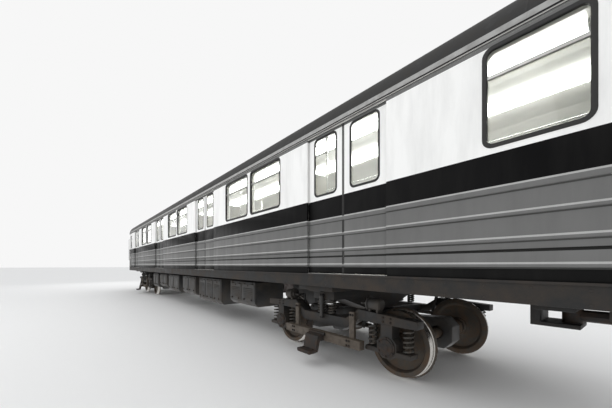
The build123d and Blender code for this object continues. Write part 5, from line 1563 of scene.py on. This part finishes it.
class METRO_OT_cab(bpy.types.Operator):
    """Builds the driver's seat and fits the desk with its gauges, buttons and controller"""

    bl_idname = "metro.cab"
    bl_label = "Cab"

    def execute(self, context):
        smooth_copy("driver_desk", "cab", "cab_trim", 0.008, 3)
        low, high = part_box("driver_desk")
        # The gauges' panel slopes by 45 degrees, and the desk's top by 16
        slope, top_out = Vector((-0.7071, 0, 0.7071)), (-0.27, 0, 0.963)
        middle = Vector((low.x + 0.08, 0, high.z - 0.14))
        bezel = turned("bezel", BEZEL, 36)
        dial = turned("dial", ((0, 0.006), (0.0445, 0.006), (0.0445, 0.001), (0, 0.001)), 36)
        cap = turned("cap", BUTTON, 18)
        free()
        taper = {"vertices": 8, "radius1": 0.0035, "radius2": 0.001, "depth": 0.036}
        forward = (math.radians(-90), 0, 0)
        bpy.ops.mesh.primitive_cone_add(location=(0, 0.012, 0.0085), rotation=forward, **taper)
        needle = soften(place(bpy.context.object, "needle"), 0.0005, 1)
        mark = block("mark", (-0.0008, 0.033, 0.0058), (0.0008, 0.041, 0.0068))
        marks = [copy_of(mark, "mark") for _ in range(9)]
        for tick, copy in enumerate(marks):
            turn_about(copy, -120 + 30 * tick, "Z")
        marks = join("marks", marks)
        # Four gauges in a row, each with its needle at its own angle
        chrome, white, black = [], [], []
        for i, angle in enumerate((-40, -10, 20, 45)):
            spot = middle + Vector((0, low.y + 0.1 + 0.135 * i, 0)) + 0.0005 * slope
            chrome.append(put(bezel, spot, slope))
            white.append(put(dial, spot, slope))
            pointer = copy_of(needle, "needle")
            turn_about(pointer, angle, "Z")
            black.append(put(pointer, spot, slope))
            drop(pointer)
            black.append(put(marks, spot, slope))
        # Two rows of six buttons, light and dark by turns
        for row in range(2):
            x, z = high.x - 0.09 - 0.05 * row, high.z - 0.0245 - 0.014 * row
            for column in range(6):
                spot = (x, low.y + 0.08 + 0.04 * column, z)
                (black if (row + column) % 2 else white).append(put(cap, spot, top_out))
        # The controller: a round base, an arm and a knob
        outline = ((0, 0.03), (0.03, 0.03), (0.05, 0.022), (0.06, 0.01), (0.062, 0), (0, 0))
        base = turned("base", outline, 32)
        knob = turned("knob", KNOB, 24)
        centre = Vector((high.x - 0.11, high.y - 0.14, high.z - 0.032))
        chrome.append(put(base, centre, top_out))
        reach = centre + Vector((-0.1, 0.0, 0.05))
        chrome.append(pipe("arm", [tuple(centre + Vector((0, 0, 0.022))), tuple(reach)], 0.008))
        black.append(put(knob, reach - Vector((0, 0, 0.01)), (0, 0, 1)))
        drop(bezel, dial, cap, needle, base, knob, mark, marks)
        fit("desk_bezels", chrome, "alloy", "cab_trim")
        fit("desk_dials", white, "porcelain", "cab_trim")
        fit("desk_controls", black, "rubber", "cab_trim")

        # The driver's seat: a turned foot and stem, a pressed pan and shell on a bracket, and two pads
        low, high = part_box("driver_seat")
        x, y = high.x - 0.215, (low.y + high.y) / 2
        top = FLOOR_Z + 0.485
        stem = turned("stem", STEM, 40)
        metal = [put(stem, (x, y, FLOOR_Z))]
        drop(stem)
        metal.append(block("pan", (x - 0.2, y - 0.2, top - 0.1), (x + 0.2, y + 0.2, top - 0.07), 0.012, 3))
        shell = block("shell", (-0.012, -0.2, 0.02), (0.012, 0.2, 0.5), 0.01, 3)
        turn_about(shell, LEAN, "Y", (x - 0.235, y, top - 0.03))
        metal.append(shell)
        points = [(x - 0.1, y, top - 0.085), (x - 0.215, y, top - 0.085), (x - 0.245, y, top + 0.12)]
        metal.append(pipe("bracket", points, 0.014, 0.04))
        corner = (x - 0.205, y - 0.21, top - 0.072)
        seat = pad("driver_seat_pad", corner, (x + 0.213, y + 0.21, top), 1, 0.016)
        back = pad("driver_back_pad", (-0.205, -0.033, 0.0), (0.205, 0.033, 0.49), 1, 0.012, top_axis=1)
        turn_about(back, -90, "Z")
        turn_about(back, LEAN, "Y", (x - 0.196, y, top + 0.006))
        for piece in (seat, back):
            finish_piece(piece, "seats", "seat_leatherette")
        fit("driver_seat_frame", metal, "cab", "cab_trim", "driver_seat")
        return {"FINISHED"}


def mix_shaders(tree, share, first, second, output):
    """Mixes two shaders into a tree's output."""
    inputs = {0: share, 1: first.outputs[0], 2: second.outputs[0]}
    mixed = add_node(tree, "ShaderNodeMixShader", inputs).outputs[0]
    tree.links.new(mixed, tree.nodes[output].inputs["Surface"])


# The photograph's view: a wide lens beside the car, level, its horizon below the middle
CAMERA_SPOT = (-9.3, SIDE_Y + 2.495, 1.348)
CAMERA_TURN = (math.radians(90), 0, math.radians(-129.2))
CAMERA_LENS = {"lens": 16.94, "sensor_width": 36, "shift_y": 0.0997, "clip_end": 500}


class METRO_OT_stage(bpy.types.Operator):
    """Adds the floor, the soft light and the camera at the photograph's angle"""

    bl_idname = "metro.stage"
    bl_label = "Stage"

    def execute(self, context):
        free()
        bpy.ops.mesh.primitive_plane_add(size=400, location=(0, 0, 0))
        floor = bpy.context.object
        floor.name = "stage_floor"
        # Matt paper, which mirrors and glass see as plain white
        material, tree, principled, _ = shader("pale_paper_floor", linear("#e9e9e8"), 0.9)
        path = add_node(tree, "ShaderNodeLightPath").outputs
        mirrored = maths(tree, "MAXIMUM", path["Is Glossy Ray"], path["Is Transmission Ray"])
        white = add_node(tree, "ShaderNodeEmission", {"Color": rgba(linear("#f2f2f2")), "Strength": 1.0})
        mix_shaders(tree, mirrored, principled, white, "Material Output")
        floor.data.materials.append(material)

        # Soft daylight, which the camera, mirrors and glass see a little lighter
        world = bpy.data.worlds.new("soft_daylight")
        context.scene.world = world
        world.use_nodes = True
        tree = world.node_tree
        background = tree.nodes["Background"]
        background.inputs["Color"].default_value = rgba(linear("#f4f5f7"))
        background.inputs["Strength"].default_value = 1.0
        path = add_node(tree, "ShaderNodeLightPath").outputs
        plain = maths(tree, "MAXIMUM", path["Is Camera Ray"], path["Is Glossy Ray"])
        through = maths(tree, "MAXIMUM", plain, path["Is Transmission Ray"])
        white = add_node(tree, "ShaderNodeBackground", {"Color": rgba(linear("#f7f7f7")), "Strength": 1.0})
        mix_shaders(tree, through, background, white, "World Output")

        # A large soft box high on each side of the car, and a smaller one off each end
        for name, spot, power, size in (
            ("soft_box_left", (-2.0, 9.0, 9.0), 260, 10),
            ("soft_box_right", (3.0, -10.0, 8.0), 200, 10),
            ("soft_box_nose", (17.0, 1.0, 6.0), 120, 6),
            ("soft_box_tail", (-17.0, -1.0, 6.0), 120, 6),
        ):
            free()
            bpy.ops.object.light_add(type="AREA", location=spot)
            lamp = bpy.context.object
            lamp.name = name
            lamp.data.energy = power
            lamp.data.size = size
            aim = Vector((0.4 * spot[0], 0, 1.6)) - Vector(spot)
            lamp.rotation_euler = aim.to_track_quat("-Z", "Y").to_euler()

        free()
        bpy.ops.object.camera_add(location=CAMERA_SPOT, rotation=CAMERA_TURN)
        camera = bpy.context.object
        camera.name = "photo_camera"
        for key, value in CAMERA_LENS.items():
            setattr(camera.data, key, value)
        context.scene.camera = camera
        context.scene.view_settings.view_transform = "Standard"
        return {"FINISHED"}


class METRO_PT_panel(bpy.types.Panel):
    """Lists the car's paints, sizes and pieces"""

    bl_idname = "METRO_PT_panel"
    bl_label = "Metro car"
    bl_space_type = "VIEW_3D"
    bl_region_type = "UI"
    bl_category = "Metro car"

    def draw(self, context):
        for group in (context.scene.metro_paints, context.scene.metro_sizes):
            box = self.layout.box()
            for name in group.bl_rna.properties.keys():
                if name not in ("rna_type", "name"):
                    box.prop(group, name)
        for operator in OPERATORS:
            self.layout.operator(operator.bl_idname)


OPERATORS = (
    METRO_OT_finishes,
    METRO_OT_shell,
    METRO_OT_windows,
    METRO_OT_doors,
    METRO_OT_wheelsets,
    METRO_OT_springs,
    METRO_OT_bogies,
    METRO_OT_motors,
    METRO_OT_collectors,
    METRO_OT_equipment,
    METRO_OT_reservoirs,
    METRO_OT_resistors,
    METRO_OT_underframe,
    METRO_OT_couplers,
    METRO_OT_seats,
    METRO_OT_rails,
    METRO_OT_nose,
    METRO_OT_saloon,
    METRO_OT_cab,
    METRO_OT_stage,
)
CLASSES = (MetroPaints, MetroSizes, *OPERATORS, METRO_PT_panel)


def register():
    for item in CLASSES:
        bpy.utils.register_class(item)
    bpy.types.Scene.metro_paints = bpy.props.PointerProperty(type=MetroPaints)
    bpy.types.Scene.metro_sizes = bpy.props.PointerProperty(type=MetroSizes)


def unregister():
    del bpy.types.Scene.metro_sizes
    del bpy.types.Scene.metro_paints
    for item in reversed(CLASSES):
        bpy.utils.unregister_class(item)


def main():
    register()
    for operator in OPERATORS:
        group, name = operator.bl_idname.split(".")
        getattr(getattr(bpy.ops, group), name)()
    free()


if __name__ == "__main__":
    main()
